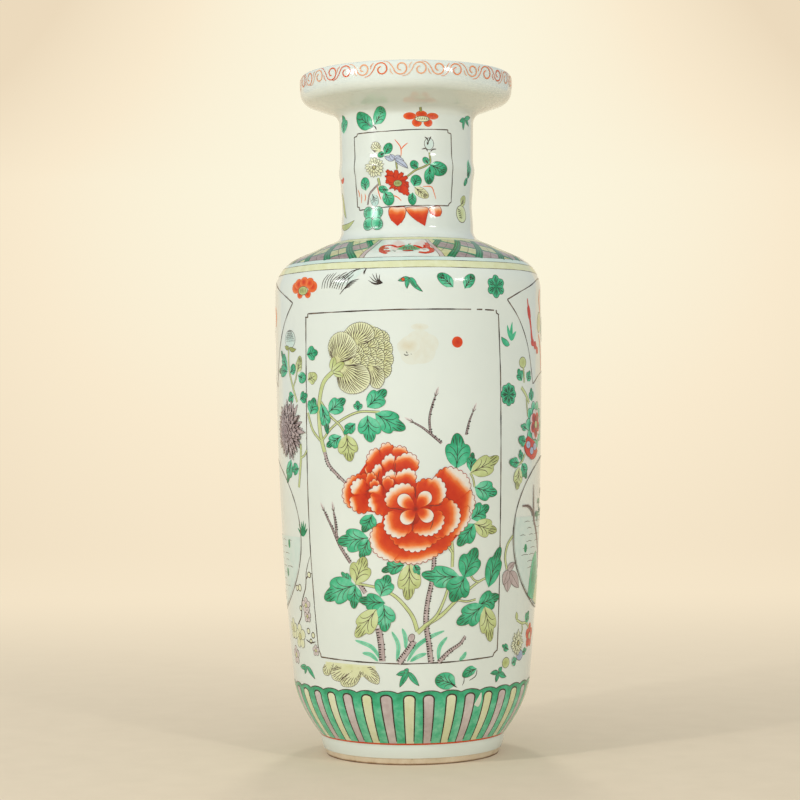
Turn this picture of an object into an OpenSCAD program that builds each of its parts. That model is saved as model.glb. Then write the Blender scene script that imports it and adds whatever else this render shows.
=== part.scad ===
// Rouleau vase: porcelain sections thrown one by one, luted with slip, coated with
// glaze and painted with raised enamels. Millimetres, +Z up. The foot stands on Z = 0
// and the painted front faces -Y.

/* [Foot] */
// Diameter of the foot where the body sits on it
foot_d = 122; // [116:1:130]
// Diameter of the bare rim that stands on the table
foot_rim_d = 115; // [106:1:120]
// Height of the foot
foot_h = 13.2; // [11:0.2:18]
// Height of the unglazed band at the bottom of the foot
foot_bare_h = 4.6; // [2:0.2:7]
// Width of the foot ring at its rim
foot_w = 10; // [7:0.5:14]
// Depth of the recess under the base
base_recess = 8.4; // [6:0.2:9]
// Thickness of the base disc
base_t = 7; // [5:0.5:10]
// Width of the ledge that carries the base disc
base_ledge = 3; // [2:0.5:4]

/* [Body] */
// Largest diameter of the body, just under the shoulder
body_d = 177.2; // [170:0.2:190]
// Height of the body from the foot to the rounding of the shoulder
body_h = 292.8; // [270:0.2:340]
// Radius that the body loses on its way down to the foot
body_taper = 14.2; // [10:0.2:17]
// How late the taper sets in, counted down from the shoulder
taper_power = 2.5; // [1.6:0.1:3.2]
// Height of the rounding that draws the body in to the foot
tuck_h = 37; // [30:1:50]
// Fullness of that rounding
tuck_power = 1.85; // [1.4:0.05:2.4]
// Height above the foot of the seam between the two thrown halves
seam_h = 138; // [90:1:200]
// Thickness of the fired clay wall
wall = 5; // [3.5:0.1:6.5]
// Height above the foot where the inside rounds off to the floor
inside_round = 14; // [12:0.5:20]

/* [Shoulder] */
// Radius of the rounding at the shoulder's edge
shoulder_round = 24; // [18:1:32]
// Slope of the shoulder, in degrees from the level
shoulder_slope = 24; // [20:1:34]

/* [Neck] */
// Diameter of the neck at its foot
neck_d = 88; // [78:0.2:96]
// Diameter of the neck below the mouth
neck_top_d = 89.4; // [80:0.2:96]
// Height of the upright part of the neck
neck_h = 71; // [62:0.5:90]
// Radius of the fillet between shoulder and neck
neck_fillet = 8; // [4:0.5:10]
// How far the raised ring stands out of the neck
ring_out = 1; // [0.4:0.1:2]
// Height of the raised ring
ring_h = 15; // [10:0.5:20]
// Height of the ring's middle above the foot of the neck
ring_at = 39; // [20:0.5:45]
// How far the neck draws in below the ring
waist_in = 0.9; // [0.2:0.1:1.2]
// Height of the stretch that draws in
waist_h = 30; // [20:0.5:32]
// Height of the waist's middle above the foot of the neck
waist_at = 16.5; // [16:0.5:20]

/* [Mouth] */
// Diameter of the mouth
mouth_d = 141; // [130:0.2:156]
// Radius of the fillet under the mouth
mouth_fillet = 9; // [7:0.5:18]
// Slope of the underside, in degrees from the level
mouth_slope = 20; // [14:1:32]
// Radius between the underside and the upright rim
mouth_round = 8; // [7.5:0.5:11]
// Height of the upright rim below its rounded lip
rim_h = 8.2; // [4:0.2:16]

/* [Coats] */
// Thickness of the glaze
glaze_t = 0.4; // [0.2:0.05:0.6]
// Thickness of the slip in a luted seam
slip_t = 0.6; // [0.3:0.1:1.2]
// Thickness of the raised enamels
enamel_t = 0.3; // [0.15:0.05:0.5]
// Clearance between the glaze and the enamels on it
enamel_gap = 0.1; // [0.05:0.01:0.2]

/* [Painted bands] */
// Height of the red line round the bottom of the body
foot_line_h = 0.9; // [0.5:0.1:2]
// Height of the lappet band above the red line
lappet_h = 34; // [24:0.5:36]
// Number of tongues in the lappet band
lappet_count = 36; // [24:2:48]
// Width of a tongue as a share of its lappet
tongue_share = 0.56; // [0.35:0.01:0.75]
// Height of the green above each tongue
lappet_top = 3.2; // [1.5:0.1:6]
// Height of the yellow border's lower edge above the start of the shoulder
border_at = 10.6; // [6:0.2:11]
// Height of the yellow border
border_h = 5.2; // [3:0.1:6.4]
// Height of the pale line above the yellow border
pale_line_h = 2.2; // [1:0.1:3]
// White left between the neck's fillet and the border round it
neck_border_gap = 1.8; // [1:0.1:5]
// Width of that border on the shoulder
neck_border_w = 5; // [2:0.1:7]
// Number of white reserves in the trellis
reserve_count = 4; // [2:1:6]
// Angle that one reserve takes
reserve_deg = 36; // [24:1:44]
// Rows of cells in the trellis
trellis_rows = 3; // [2:1:4]
// Columns of cells between two reserves
trellis_columns = 4; // [2:1:6]
// Width of the green bars of the trellis
trellis_bar = 1.4; // [0.6:0.1:2]

/* [Painted frames] */
// Width of the brown line of a frame
frame_line = 1.1; // [0.6:0.1:2]
// Depth of the notch in each corner of a frame
frame_notch = 3; // [2.2:0.1:6]
// Angle that the front and back panels of the body take
panel_deg = 89; // [60:1:110]
// Height of the body panel's lower edge above the foot
panel_at = 53.5; // [45:0.5:58]
// Height of the body panel
panel_h = 222; // [150:1:228]
// Angle that the front and back panels of the neck take
neck_panel_deg = 88; // [60:1:110]
// Height of the neck panel's lower edge above the foot of the neck
neck_panel_at = 11.2; // [6:0.2:12]
// Height of the neck panel
neck_panel_h = 49.6; // [30:0.2:50]

/* [Hidden] */
$fn = 96;

clay_colour = "#ddd3bf";
slip_colour = "#cfc3ab";
glaze_colour = "#e4e8df";
green = "#3f9f72";
yellow = "#d8d68a";
aubergine = "#a8958f";
iron_red = "#c4472b";
pale_blue = "#bcd5cc";
brown = "#4a4038";

// Directions that the front and the back panels face
panel_faces = [270, 90];
tiny = 0.001;

// Radii of the finished surface
foot_r = foot_d / 2;
rim_r = foot_rim_d / 2;
body_r = body_d / 2;
neck_r = neck_d / 2;
neck_top_r = neck_top_d / 2;
mouth_r = mouth_d / 2;
tuck = body_r - body_taper - foot_r;
coated_wall = wall + 2 * glaze_t;

// Foot and floor
recess_r = rim_r - foot_w;
base_r = recess_r + base_ledge;
seat_r = base_r + slip_t;
base_z = base_recess + glaze_t;
ledge_z = base_z - slip_t;
floor_z = base_z + base_t;
corner_z = foot_h + inside_round;

// Heights of the seams and of the turns in the outline, from the foot up
body_z = foot_h + slip_t;
seam_z = foot_h + seam_h;
shoulder_z = foot_h + body_h;
slope_r = body_r - shoulder_round * (1 - sin(shoulder_slope));
slope_z = shoulder_z + shoulder_round * cos(shoulder_slope);
slope_end_r = neck_r + neck_fillet * (1 - sin(shoulder_slope));
slope_end_z = slope_z + (slope_r - slope_end_r) * tan(shoulder_slope);
neck_z = slope_end_z + neck_fillet * cos(shoulder_slope);
mouth_z = neck_z + neck_h;
under_r = neck_top_r + mouth_fillet * (1 - sin(mouth_slope));
under_z = mouth_z + mouth_fillet * cos(mouth_slope);
under_end_r = mouth_r - mouth_round * (1 - sin(mouth_slope));
under_end_z = under_z + (under_end_r - under_r) * tan(mouth_slope);
rim_z = under_end_z + mouth_round * cos(mouth_slope);
lip_z = rim_z + rim_h;

// Points are [radius, height]. A path runs upwards along the outside of the wall.
function reverse(path) = [for (i = [len(path) - 1:-1:0]) path[i]];
function after(a, b, n) = [for (i = [1:n]) a + (b - a) * i / n];
function arc(centre, r, a, b, n) =
    [for (t = after(a, b, n)) centre + r * [cos(t), sin(t)]];
function tangent(path, i) =
    let (d = path[min(i + 1, len(path) - 1)] - path[max(i - 1, 0)]) d / norm(d);
function inset(path, d) =
    [for (i = [0:len(path) - 1]) let (t = tangent(path, i)) path[i] + d * [-t[1], t[0]]];

// Radius of the outside at a height, for the stretches that follow a formula
function foot_side(z) = rim_r + (foot_r - rim_r) * sin(90 * z / foot_h);
function body_side(z) =
    body_r
    - body_taper * pow((shoulder_z - z) / body_h, taper_power)
    - tuck * pow(max(0, 1 - (z - foot_h) / tuck_h), tuck_power);
function swell(u) = abs(u) < 1 ? (1 + cos(180 * u)) / 2 : 0;
function neck_side(z) =
    neck_r
    + (neck_top_r - neck_r) * (z - neck_z) / neck_h
    + ring_out * swell((z - neck_z - ring_at) / (ring_h / 2))
    - waist_in * swell((z - neck_z - waist_at) / (waist_h / 2));

foot_levels = concat([0], after(0, foot_bare_h, 4), after(foot_bare_h, foot_h, 5));
body_levels = concat(
    [body_z],
    after(body_z, foot_h + tuck_h, 18),
    after(foot_h + tuck_h, seam_z, 10),
    [seam_z + slip_t],
    after(seam_z + slip_t, shoulder_z - slip_t, 14),
    [shoulder_z]
);
neck_levels = concat(
    [neck_z + slip_t],
    after(neck_z + slip_t, mouth_z - slip_t, 30),
    [mouth_z]
);

// Outside of the finished vase from the table to the lip
outside = concat(
    [for (z = foot_levels) [foot_side(z), z]],
    [for (z = body_levels) [body_side(z), z]],
    arc([body_r - shoulder_round, shoulder_z], shoulder_round, 0, 90 - shoulder_slope, 14),
    [[slope_end_r, slope_end_z]],
    arc([neck_r + neck_fillet, neck_z], neck_fillet, 270 - shoulder_slope, 180, 8),
    [for (z = neck_levels) [neck_side(z), z]],
    arc([neck_top_r + mouth_fillet, mouth_z], mouth_fillet, 180, 90 + mouth_slope, 10),
    [[under_end_r, under_end_z]],
    arc([mouth_r - mouth_round, rim_z], mouth_round, mouth_slope - 90, 0, 10),
    [[mouth_r, lip_z]]
);
clay_outside = inset(outside, glaze_t);
clay_inside = inset(outside, glaze_t + wall);
inside = inset(outside, coated_wall);

// The stretch of a path whose points lie beside the outside from height a to height b
function stretch(path, a, b) = [
    for (i = [0:len(outside) - 1])
        if (outside[i][1] > a - tiny && outside[i][1] < b + tiny) path[i]
];
function lip(thickness) = arc([mouth_r - coated_wall / 2, lip_z], thickness / 2, 0, 180, 12);
// Rounded inner corner from the wall's lowest inside point to the floor at height z
function corner(path, z) =
    let (a = stretch(path, corner_z, seam_z)[0], c = [seat_r, z], b = [(a[0] + c[0]) / 2, z])
    [for (t = after(0, 1, 8)) pow(1 - t, 2) * a + 2 * t * (1 - t) * b + t * t * c];

// One ring of clay or slip, as thick as the wall, between two heights of the outside
module wall_ring(a, b) {
    rotate_extrude()
        polygon(concat(stretch(clay_outside, a, b), reverse(stretch(clay_inside, a, b))));
}

// Enamel lies between these two faces. Points between two of a path's own are taken beside
// the same height of the outside, so that neighbouring strokes meet exactly.
enamel_back = inset(outside, -enamel_gap);
enamel_face = inset(outside, -enamel_gap - enamel_t);
function point_at(path, z) =
    let (
        i = max([for (k = [0:len(outside) - 2]) if (outside[k][1] < z + tiny) k]),
        t = (z - outside[i][1]) / (outside[i + 1][1] - outside[i][1])
    )
    path[i] + (path[i + 1] - path[i]) * t;
function painted(path, a, b) =
    concat([point_at(path, a)], stretch(path, a + 2 * tiny, b - 2 * tiny), [point_at(path, b)]);

// Raised enamel from height a to height b, starting at an angle and sweeping on from it
module enamel(a, b, start = 0, sweep = 360) {
    rotate([0, 0, start])
        rotate_extrude(angle = sweep)
            polygon(concat(painted(enamel_face, a, b), reverse(painted(enamel_back, a, b))));
}

// Block that cuts paint out between two heights and two angles
module cutter(a, b, start, sweep) {
    rotate([0, 0, start])
        rotate_extrude(angle = sweep)
            translate([recess_r / 2, a])
                square([body_r, b - a]);
}

function arc_deg(length, r) = length / r * 180 / PI;

// Porcelain sections
module foot_ring() {
    color(clay_colour)
        rotate_extrude()
            polygon(concat(
                [[recess_r, 0], [rim_r - glaze_t, 0]],
                stretch(clay_outside, 2 * tiny, foot_h),
                [[seat_r, foot_h], [seat_r, ledge_z], [recess_r, ledge_z]]
            ));
}

module base_disc() {
    color(clay_colour)
        translate([0, 0, base_z])
            cylinder(r = base_r, h = base_t);
}

module lower_body() {
    color(clay_colour)
        rotate_extrude()
            polygon(concat(
                stretch(clay_outside, body_z, seam_z),
                reverse(stretch(clay_inside, corner_z, seam_z)),
                corner(clay_inside, floor_z),
                [[seat_r, body_z]]
            ));
}

module upper_body() {
    color(clay_colour) wall_ring(seam_z + slip_t, shoulder_z - slip_t);
}

module shoulder() {
    color(clay_colour) wall_ring(shoulder_z, neck_z);
}

module neck() {
    color(clay_colour) wall_ring(neck_z + slip_t, mouth_z - slip_t);
}

module mouth() {
    color(clay_colour)
        rotate_extrude()
            polygon(concat(
                stretch(clay_outside, mouth_z, lip_z),
                lip(wall),
                reverse(stretch(clay_inside, mouth_z, rim_z))
            ));
}

// Luting slip in the seams
module foot_slip() {
    color(slip_colour)
        rotate_extrude()
            polygon(concat(
                stretch(clay_outside, foot_h, body_z),
                [[seat_r, body_z], [seat_r, foot_h]]
            ));
}

module base_slip() {
    color(slip_colour)
        rotate_extrude()
            polygon([
                [recess_r, ledge_z], [seat_r, ledge_z], [seat_r, floor_z],
                [base_r, floor_z], [base_r, base_z], [recess_r, base_z]
            ]);
}

module body_slip() {
    color(slip_colour) wall_ring(seam_z, seam_z + slip_t);
}

module shoulder_slip() {
    color(slip_colour) wall_ring(shoulder_z - slip_t, shoulder_z);
}

module neck_slip() {
    color(slip_colour) wall_ring(neck_z, neck_z + slip_t);
}

module mouth_slip() {
    color(slip_colour) wall_ring(mouth_z - slip_t, mouth_z);
}

// Glaze: one coat from the foot up over the lip and down inside, one under the base
module glaze_coat() {
    surface_path = concat(
        stretch(outside, foot_bare_h, lip_z),
        lip(coated_wall),
        reverse(stretch(inside, corner_z, rim_z)),
        corner(inside, floor_z + glaze_t),
        [[0, floor_z + glaze_t]]
    );
    clay_path = concat(
        stretch(clay_outside, foot_bare_h, lip_z),
        lip(wall),
        reverse(stretch(clay_inside, corner_z, rim_z)),
        corner(clay_inside, floor_z),
        [[0, floor_z]]
    );
    color(glaze_colour)
        rotate_extrude()
            polygon(concat(surface_path, reverse(clay_path)));
}

module base_glaze() {
    color(glaze_colour)
        rotate_extrude()
            polygon([
                [0, base_recess], [recess_r - glaze_t, base_recess],
                [recess_r - glaze_t, foot_bare_h], [recess_r, foot_bare_h],
                [recess_r, base_z], [0, base_z]
            ]);
}

// Lappet band: a green ground with tongues of yellow and aubergine in turn
lappet_z = foot_h + foot_line_h;
lappet_end_z = lappet_z + lappet_h;
tongue_end_z = lappet_end_z - lappet_top;
lappet_deg = 360 / lappet_count;
tongue_deg = lappet_deg * tongue_share;

module foot_line() {
    color(iron_red) enamel(foot_h, lappet_z);
}

module tongues(first) {
    for (i = [first:2:lappet_count - 1])
        cutter(
            lappet_z - 1, tongue_end_z,
            panel_faces[0] + i * lappet_deg - tongue_deg / 2, tongue_deg
        );
}

module lappet_ground() {
    color(green)
        difference() {
            enamel(lappet_z, lappet_end_z);
            tongues(0);
            tongues(1);
        }
}

module lappet_tongues(first) {
    intersection() {
        enamel(lappet_z, lappet_end_z);
        tongues(first);
    }
}

module lappet_yellow() {
    color(yellow) lappet_tongues(0);
}

module lappet_aubergine() {
    color(aubergine) lappet_tongues(1);
}

// Shoulder: two borders, and between them a trellis broken by white reserves
border_z = shoulder_z + border_at;
pale_z = border_z + border_h;
trellis_z = pale_z + pale_line_h;
neck_border_end_z = slope_end_z - neck_border_gap * tan(shoulder_slope);
neck_border_z = neck_border_end_z - neck_border_w * tan(shoulder_slope);
row_h = (neck_border_z - trellis_z) / trellis_rows;
sector_deg = 360 / reserve_count - reserve_deg;
column_deg = sector_deg / trellis_columns;
bar_h = trellis_bar * sin(shoulder_slope);
bar_deg = arc_deg(trellis_bar, point_at(outside, (trellis_z + neck_border_z) / 2)[0]);

module shoulder_border() {
    color(yellow) enamel(border_z, pale_z);
}

module shoulder_pale_line() {
    color(pale_blue) enamel(pale_z, trellis_z);
}

module neck_border() {
    color(yellow) enamel(neck_border_z, neck_border_end_z);
}

// Angle at which the trellis begins after a reserve
function sector_start(i) = panel_faces[0] + i * 360 / reserve_count + reserve_deg / 2;

module trellis_bars() {
    color(green)
        for (i = [0:reserve_count - 1]) {
            for (row = [1:trellis_rows - 1])
                enamel(
                    trellis_z + row * row_h - bar_h / 2, trellis_z + row * row_h + bar_h / 2,
                    sector_start(i), sector_deg
                );
            for (column = [0:trellis_columns])
                enamel(
                    trellis_z, neck_border_z,
                    sector_start(i) + column * column_deg - (column == 0 ? 0 : bar_deg / 2),
                    column == 0 || column == trellis_columns ? bar_deg / 2 : bar_deg
                );
        }
}

module trellis_cells(parity) {
    for (i = [0:reserve_count - 1], row = [0:trellis_rows - 1], column = [0:trellis_columns - 1])
        if ((row + column) % 2 == parity)
            enamel(
                trellis_z + row * row_h + (row == 0 ? 0 : bar_h / 2),
                trellis_z + (row + 1) * row_h - (row == trellis_rows - 1 ? 0 : bar_h / 2),
                sector_start(i) + column * column_deg + bar_deg / 2,
                column_deg - bar_deg
            );
}

module trellis_yellow() {
    color(yellow) trellis_cells(0);
}

module trellis_aubergine() {
    color(aubergine) trellis_cells(1);
}

// The four corners of a panel, cut in by a notch. r is the radius of the surface there.
module corner_cutters(a, b, face, deg, notch, r) {
    notch_deg = arc_deg(notch, r);
    for (z = [a - notch, b - notch], side = [-1, 1])
        cutter(z, z + 2 * notch, face + side * deg / 2 - notch_deg, 2 * notch_deg);
}

// Brown line round a panel, with a square notch in each corner
module panel_frame(a, b, face, deg, r) {
    line_deg = arc_deg(frame_line, r);
    difference() {
        enamel(a, b, face - deg / 2, deg);
        corner_cutters(a, b, face, deg, frame_notch, r);
        difference() {
            cutter(
                a + frame_line, b - frame_line,
                face - deg / 2 + line_deg, deg - 2 * line_deg
            );
            corner_cutters(a, b, face, deg, frame_notch + frame_line, r);
        }
    }
}

module body_panel_frames() {
    a = foot_h + panel_at;
    b = a + panel_h;
    color(brown)
        for (face = panel_faces)
            panel_frame(a, b, face, panel_deg, point_at(outside, (a + b) / 2)[0]);
}

module neck_panel_frames() {
    a = neck_z + neck_panel_at;
    b = a + neck_panel_h;
    color(brown)
        for (face = panel_faces)
            panel_frame(a, b, face, neck_panel_deg, neck_r);
}

foot_ring();
base_disc();
lower_body();
upper_body();
shoulder();
neck();
mouth();
foot_slip();
base_slip();
body_slip();
shoulder_slip();
neck_slip();
mouth_slip();
glaze_coat();
base_glaze();
foot_line();
lappet_ground();
lappet_yellow();
lappet_aubergine();
shoulder_border();
shoulder_pale_line();
neck_border();
trellis_bars();
trellis_yellow();
trellis_aubergine();
body_panel_frames();
neck_panel_frames();
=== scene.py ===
"""Looks of the rouleau vase: its turned glaze and the enamels painted on it stroke by stroke.

Sizes and places on the vase are in millimetres, and angles in degrees."""
import math
import random

import bmesh
import bpy
import numpy as np
from mathutils import Matrix, Vector
from mathutils.bvhtree import BVHTree


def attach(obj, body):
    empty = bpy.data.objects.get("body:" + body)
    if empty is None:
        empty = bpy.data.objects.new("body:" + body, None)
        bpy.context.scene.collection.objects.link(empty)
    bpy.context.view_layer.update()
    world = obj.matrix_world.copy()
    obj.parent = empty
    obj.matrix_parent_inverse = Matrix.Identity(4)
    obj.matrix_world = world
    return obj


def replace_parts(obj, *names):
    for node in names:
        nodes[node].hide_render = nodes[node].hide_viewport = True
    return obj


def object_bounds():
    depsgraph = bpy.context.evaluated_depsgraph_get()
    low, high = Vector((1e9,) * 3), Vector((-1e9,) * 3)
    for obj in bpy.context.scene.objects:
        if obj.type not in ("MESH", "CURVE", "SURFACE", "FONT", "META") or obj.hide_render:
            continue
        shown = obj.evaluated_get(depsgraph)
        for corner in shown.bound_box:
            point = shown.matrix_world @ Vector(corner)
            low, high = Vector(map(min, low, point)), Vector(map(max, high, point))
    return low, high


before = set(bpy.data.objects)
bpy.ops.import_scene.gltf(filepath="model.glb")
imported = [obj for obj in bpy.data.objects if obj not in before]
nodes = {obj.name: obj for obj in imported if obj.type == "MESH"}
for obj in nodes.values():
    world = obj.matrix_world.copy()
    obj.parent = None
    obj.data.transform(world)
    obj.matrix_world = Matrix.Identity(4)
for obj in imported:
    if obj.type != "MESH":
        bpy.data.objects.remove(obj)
cad_low, cad_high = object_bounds()
chance = random.Random(8)

MM = 0.001
# Number of sides of the turned glaze
SIDES = 192
# Longest step along the outside, the inside and the painted surface
OUTSIDE_STEP = 2.5
INSIDE_STEP = 6.0
SKIN_STEP = 1.0
# Corners closer than this become one
WELD = 0.001
# Lift of the first stroke over the glaze, of each stroke that crosses another, and its thinner edge
BED = 0.04
FILM = 0.012
EDGE = 0.01
# Size of the squares in which crossing strokes are counted, round the vase and up it
CELL_DEG = 2.0
CELL_LENGTH = 2.5
# Longest step along a brush line and inside a painted patch
LINE_STEP = 1.2
PATCH_STEP = 1.5
# Usual shade of an outline, and the width of the finest one
INK = 0.4
HAIRLINE = 0.26
# Form of a leaf: widest turn of its edge from the midrib, bluntness, width and depth of its notches
LEAF_TURN = 70.0
LEAF_BLUNT = 0.42
LEAF_WIDTH = 0.92
LEAF_NOTCH = 0.2
# Shade of a leaf: its middle, how much deeper its tip is, and how much paler its edge
LEAF_TONE = 0.56
LEAF_TIP = 0.36
LEAF_EDGE = 0.16
# Veins as shares of a leaf: where the first leaves the midrib, the step to the next, and their ends
VEIN_FOOT = 0.1
VEIN_STEP = 0.24
VEIN_TOP = 0.86
VEIN_SWING = 0.66
# Leaves longer than this have dark strokes at the tip
LONG_LEAF = 11
# Depth of the scallops of a red petal and of the flutes of a lined one
SCALLOP_DEPTH = 1.2
FLUTE_DEPTH = 0.5
# Deepest shade of a red petal
PETAL_DEEP = 0.16
# How much later every other line of a lined petal starts, as a share of its length
LINE_STAGGER = 0.26
# Spacing of the ticks along a branch
TICK_STEP = 1.6


def smooth(points, step):
    """Points of a smooth curve through the given points, at most a step apart."""
    points = np.asarray(points, float)
    chords = np.linalg.norm(np.diff(points, axis=0), axis=1)
    along = np.concatenate([[0], np.cumsum(chords)])
    slopes = np.gradient(points, along, axis=0)
    curve = []
    for i, chord in enumerate(chords):
        count = max(1, math.ceil(chord / step))
        t = (np.arange(count) / count)[:, None]
        curve.append(
            (1 + 2 * t) * (1 - t) ** 2 * points[i]
            + t * (1 - t) ** 2 * chord * slopes[i]
            + t * t * (3 - 2 * t) * points[i + 1]
            + t * t * (t - 1) * chord * slopes[i + 1]
        )
    return np.concatenate([*curve, points[-1:]])


def straight(points, step):
    """Points along the straight sides of an outline, at most a step apart."""
    points = np.asarray(points, float)
    walk = []
    for a, b in zip(points, points[1:]):
        count = max(1, math.ceil(np.linalg.norm(b - a) / step))
        walk.append(a + (b - a) * (np.arange(count) / count)[:, None])
    return np.concatenate([*walk, points[-1:]])


def length_along(points):
    """Length from a curve's first point to each of its points."""
    return np.concatenate([[0], np.cumsum(np.linalg.norm(np.diff(points, axis=0), axis=1))])


def crossways(curve):
    """Unit vectors square to a curve, to its left."""
    tangent = np.gradient(curve, axis=0)
    tangent /= np.maximum(np.linalg.norm(tangent, axis=1, keepdims=True), 1e-9)
    return np.stack([-tangent[:, 1], tangent[:, 0]], axis=1)


def heading(degrees):
    """Unit vector in a direction, counted from the right towards the top."""
    return np.array([math.cos(math.radians(degrees)), math.sin(math.radians(degrees))])


def brush_path(points, step):
    """Points along a stroke, which is smooth if it has more than two points."""
    return smooth(points, step) if len(points) > 2 else straight(points, step)


def between(ends, share):
    """A value on the way from one end to the other. One number stands for both ends."""
    first, last = np.broadcast_to(ends, 2)
    return first + (last - first) * share


def ribbon(curve, half):
    """Grid of a strip along a curve, by its half widths: left edge, middle and right edge."""
    side = crossways(curve) * half[:, None]
    return np.stack([curve + side, curve, curve - side], axis=1)


def radial_grid(base, rim, steps):
    """Grid of rays from a base to a rim."""
    return base + (rim - base)[:, None] * steps[None, :, None]


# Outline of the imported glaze


def one_per_height(rings, pick):
    """Rings from the bottom up. Of rings at one height, pick chooses the radius."""
    levels = {}
    for radius, height in rings:
        levels.setdefault(round(height, 1), []).append((radius, height))
    return [pick(levels[key]) for key in sorted(levels)]


def glaze_outline():
    """Outside and inside of the glaze coat as [radius, height], both from the bottom up."""
    mesh = nodes["glaze_coat"].data
    corners = np.array([corner.co for corner in mesh.vertices]) / MM
    rings = np.stack([np.hypot(corners[:, 0], corners[:, 1]), corners[:, 2]], axis=1)
    rings = np.unique(np.round(rings, 2), axis=0)
    tree = BVHTree.FromPolygons(
        [corner.co for corner in mesh.vertices], [face.vertices for face in mesh.polygons]
    )
    # Rays start just beside a ring and pass between the corners of the facets. What lies nearer the
    # axis than axis_radius belongs to no wall.
    ray = Vector((*heading(0.7), 0))
    gap = 0.1
    reach = 1000
    axis_radius = 1

    def clear(radius, height, side):
        """True if nothing lies level with a ring, outwards for side 1 and inwards for side -1."""
        start = ray * (radius + side * gap) * MM + Vector((0, 0, height * MM))
        limit = (reach if side > 0 else radius - gap) * MM
        return tree.ray_cast(start, side * ray, limit)[0] is None

    above = Vector((gap * MM, gap * MM, cad_high.z))
    floor = tree.ray_cast(above, Vector((0, 0, -1)))[0].z / MM
    rings = [(radius, height) for radius, height in rings if radius > axis_radius]
    outside = [ring for ring in rings if clear(*ring, 1)]
    inside = [ring for ring in rings if ring[1] > floor - gap and clear(*ring, -1)]
    return np.array(one_per_height(outside, max)), np.array(one_per_height(inside, min))


outside, inside = glaze_outline()
skin = smooth(outside, SKIN_STEP)
skin_length = length_along(skin)
skin_slope = np.gradient(skin, skin_length, axis=0)
skin_slope /= np.linalg.norm(skin_slope, axis=1, keepdims=True)
skin_normal = np.stack([skin_slope[:, 1], -skin_slope[:, 0]], axis=1)


def mesh_piece(name, corners, faces, material, shade=None):
    """A smooth piece of the vase that rides on its only body."""
    mesh = bpy.data.meshes.new(name)
    mesh.from_pydata(corners, [], faces)
    if shade is not None:
        mesh.attributes.new("shade", "FLOAT", "POINT").data.foreach_set("value", shade)
    work = bmesh.new()
    work.from_mesh(mesh)
    bmesh.ops.remove_doubles(work, verts=work.verts, dist=WELD * MM)
    bmesh.ops.dissolve_degenerate(work, edges=work.edges, dist=WELD * MM)
    for face in work.faces:
        face.smooth = True
    work.to_mesh(mesh)
    work.free()
    mesh.materials.append(material)
    piece = bpy.data.objects.new(name, mesh)
    bpy.context.scene.collection.objects.link(piece)
    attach(piece, "root")
    return piece


def lathe(name, path, material):
    """A surface turned from a path of [radius, height]."""
    turn = np.arange(SIDES) * 2 * math.pi / SIDES
    rows = len(path)
    corners = np.empty((rows, SIDES, 3))
    corners[..., 0] = path[:, :1] * np.cos(turn)
    corners[..., 1] = path[:, :1] * np.sin(turn)
    corners[..., 2] = path[:, 1:]
    index = np.arange(rows * SIDES).reshape(rows, SIDES)
    right = np.roll(index, -1, axis=1)
    faces = np.stack([index[:-1], right[:-1], right[1:], index[1:]], axis=-1).reshape(-1, 4)
    return mesh_piece(name, corners.reshape(-1, 3) * MM, faces.tolist(), material)


# Materials


def colour(red, green, blue):
    """A display colour, 0 to 255, as the linear one that shaders take."""
    parts = [part / 255 for part in (red, green, blue)]
    return (*[p / 12.92 if p <= 0.04045 else ((p + 0.055) / 1.055) ** 2.4 for p in parts], 1)


class Shader:
    """A node material and short ways to build it."""

    def __init__(self, name):
        self.material = bpy.data.materials.new(name)
        self.material.use_nodes = True
        self.tree = self.material.node_tree
        self.surface = self.tree.nodes["Principled BSDF"]

    def node(self, kind, **values):
        """A new node. Names that are inputs take the value or the link, others are settings."""
        made = self.tree.nodes.new(kind)
        for name, value in values.items():
            label = name.replace("_", " ")
            if label in made.inputs:
                self.plug(value, made.inputs[label])
            else:
                setattr(made, name, value)
        return made

    def plug(self, value, socket):
        """Links an output to a socket, or sets the socket to a value."""
        if isinstance(value, bpy.types.NodeSocket):
            self.tree.links.new(value, socket)
        else:
            socket.default_value = value

    def place(self):
        """Coordinates of the object, in metres."""
        return self.node("ShaderNodeTexCoord").outputs["Object"]

    def noise(self, scale, detail=3.0, rough=0.55):
        """A cloudy value from 0 to 1."""
        made = self.node(
            "ShaderNodeTexNoise", Vector=self.place(), Scale=scale, Detail=detail, Roughness=rough
        )
        return made.outputs["Fac"]

    def math(self, operation, a, b=0.5):
        """Result of an operation on one or two values."""
        made = self.node("ShaderNodeMath", operation=operation)
        for value, socket in zip((a, b), made.inputs):
            self.plug(value, socket)
        return made.outputs[0]

    def spread(self, value, low, high):
        """A value from 0 to 1 stretched over another range."""
        made = self.node("ShaderNodeMapRange", Value=value, To_Min=low, To_Max=high)
        return made.outputs["Result"]

    def ramp(self, value, stops):
        """Colours blended along a value. The stops are (place, colour)."""
        made = self.node("ShaderNodeValToRGB", Fac=value)
        elements = made.color_ramp.elements
        while len(elements) < len(stops):
            elements.new(1.0)
        for element, (position, shown) in zip(elements, stops):
            element.position = position
            element.color = shown
        return made.outputs["Color"]

    def bump(self, value, strength, depth):
        """Normals of an uneven surface."""
        made = self.node("ShaderNodeBump", Height=value, Strength=strength, Distance=depth * MM)
        return made.outputs["Normal"]

    def set(self, **values):
        """Sets or links inputs of the surface and returns the finished material."""
        for name, value in values.items():
            self.plug(value, self.surface.inputs[name.replace("_", " ")])
        return self.material


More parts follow.
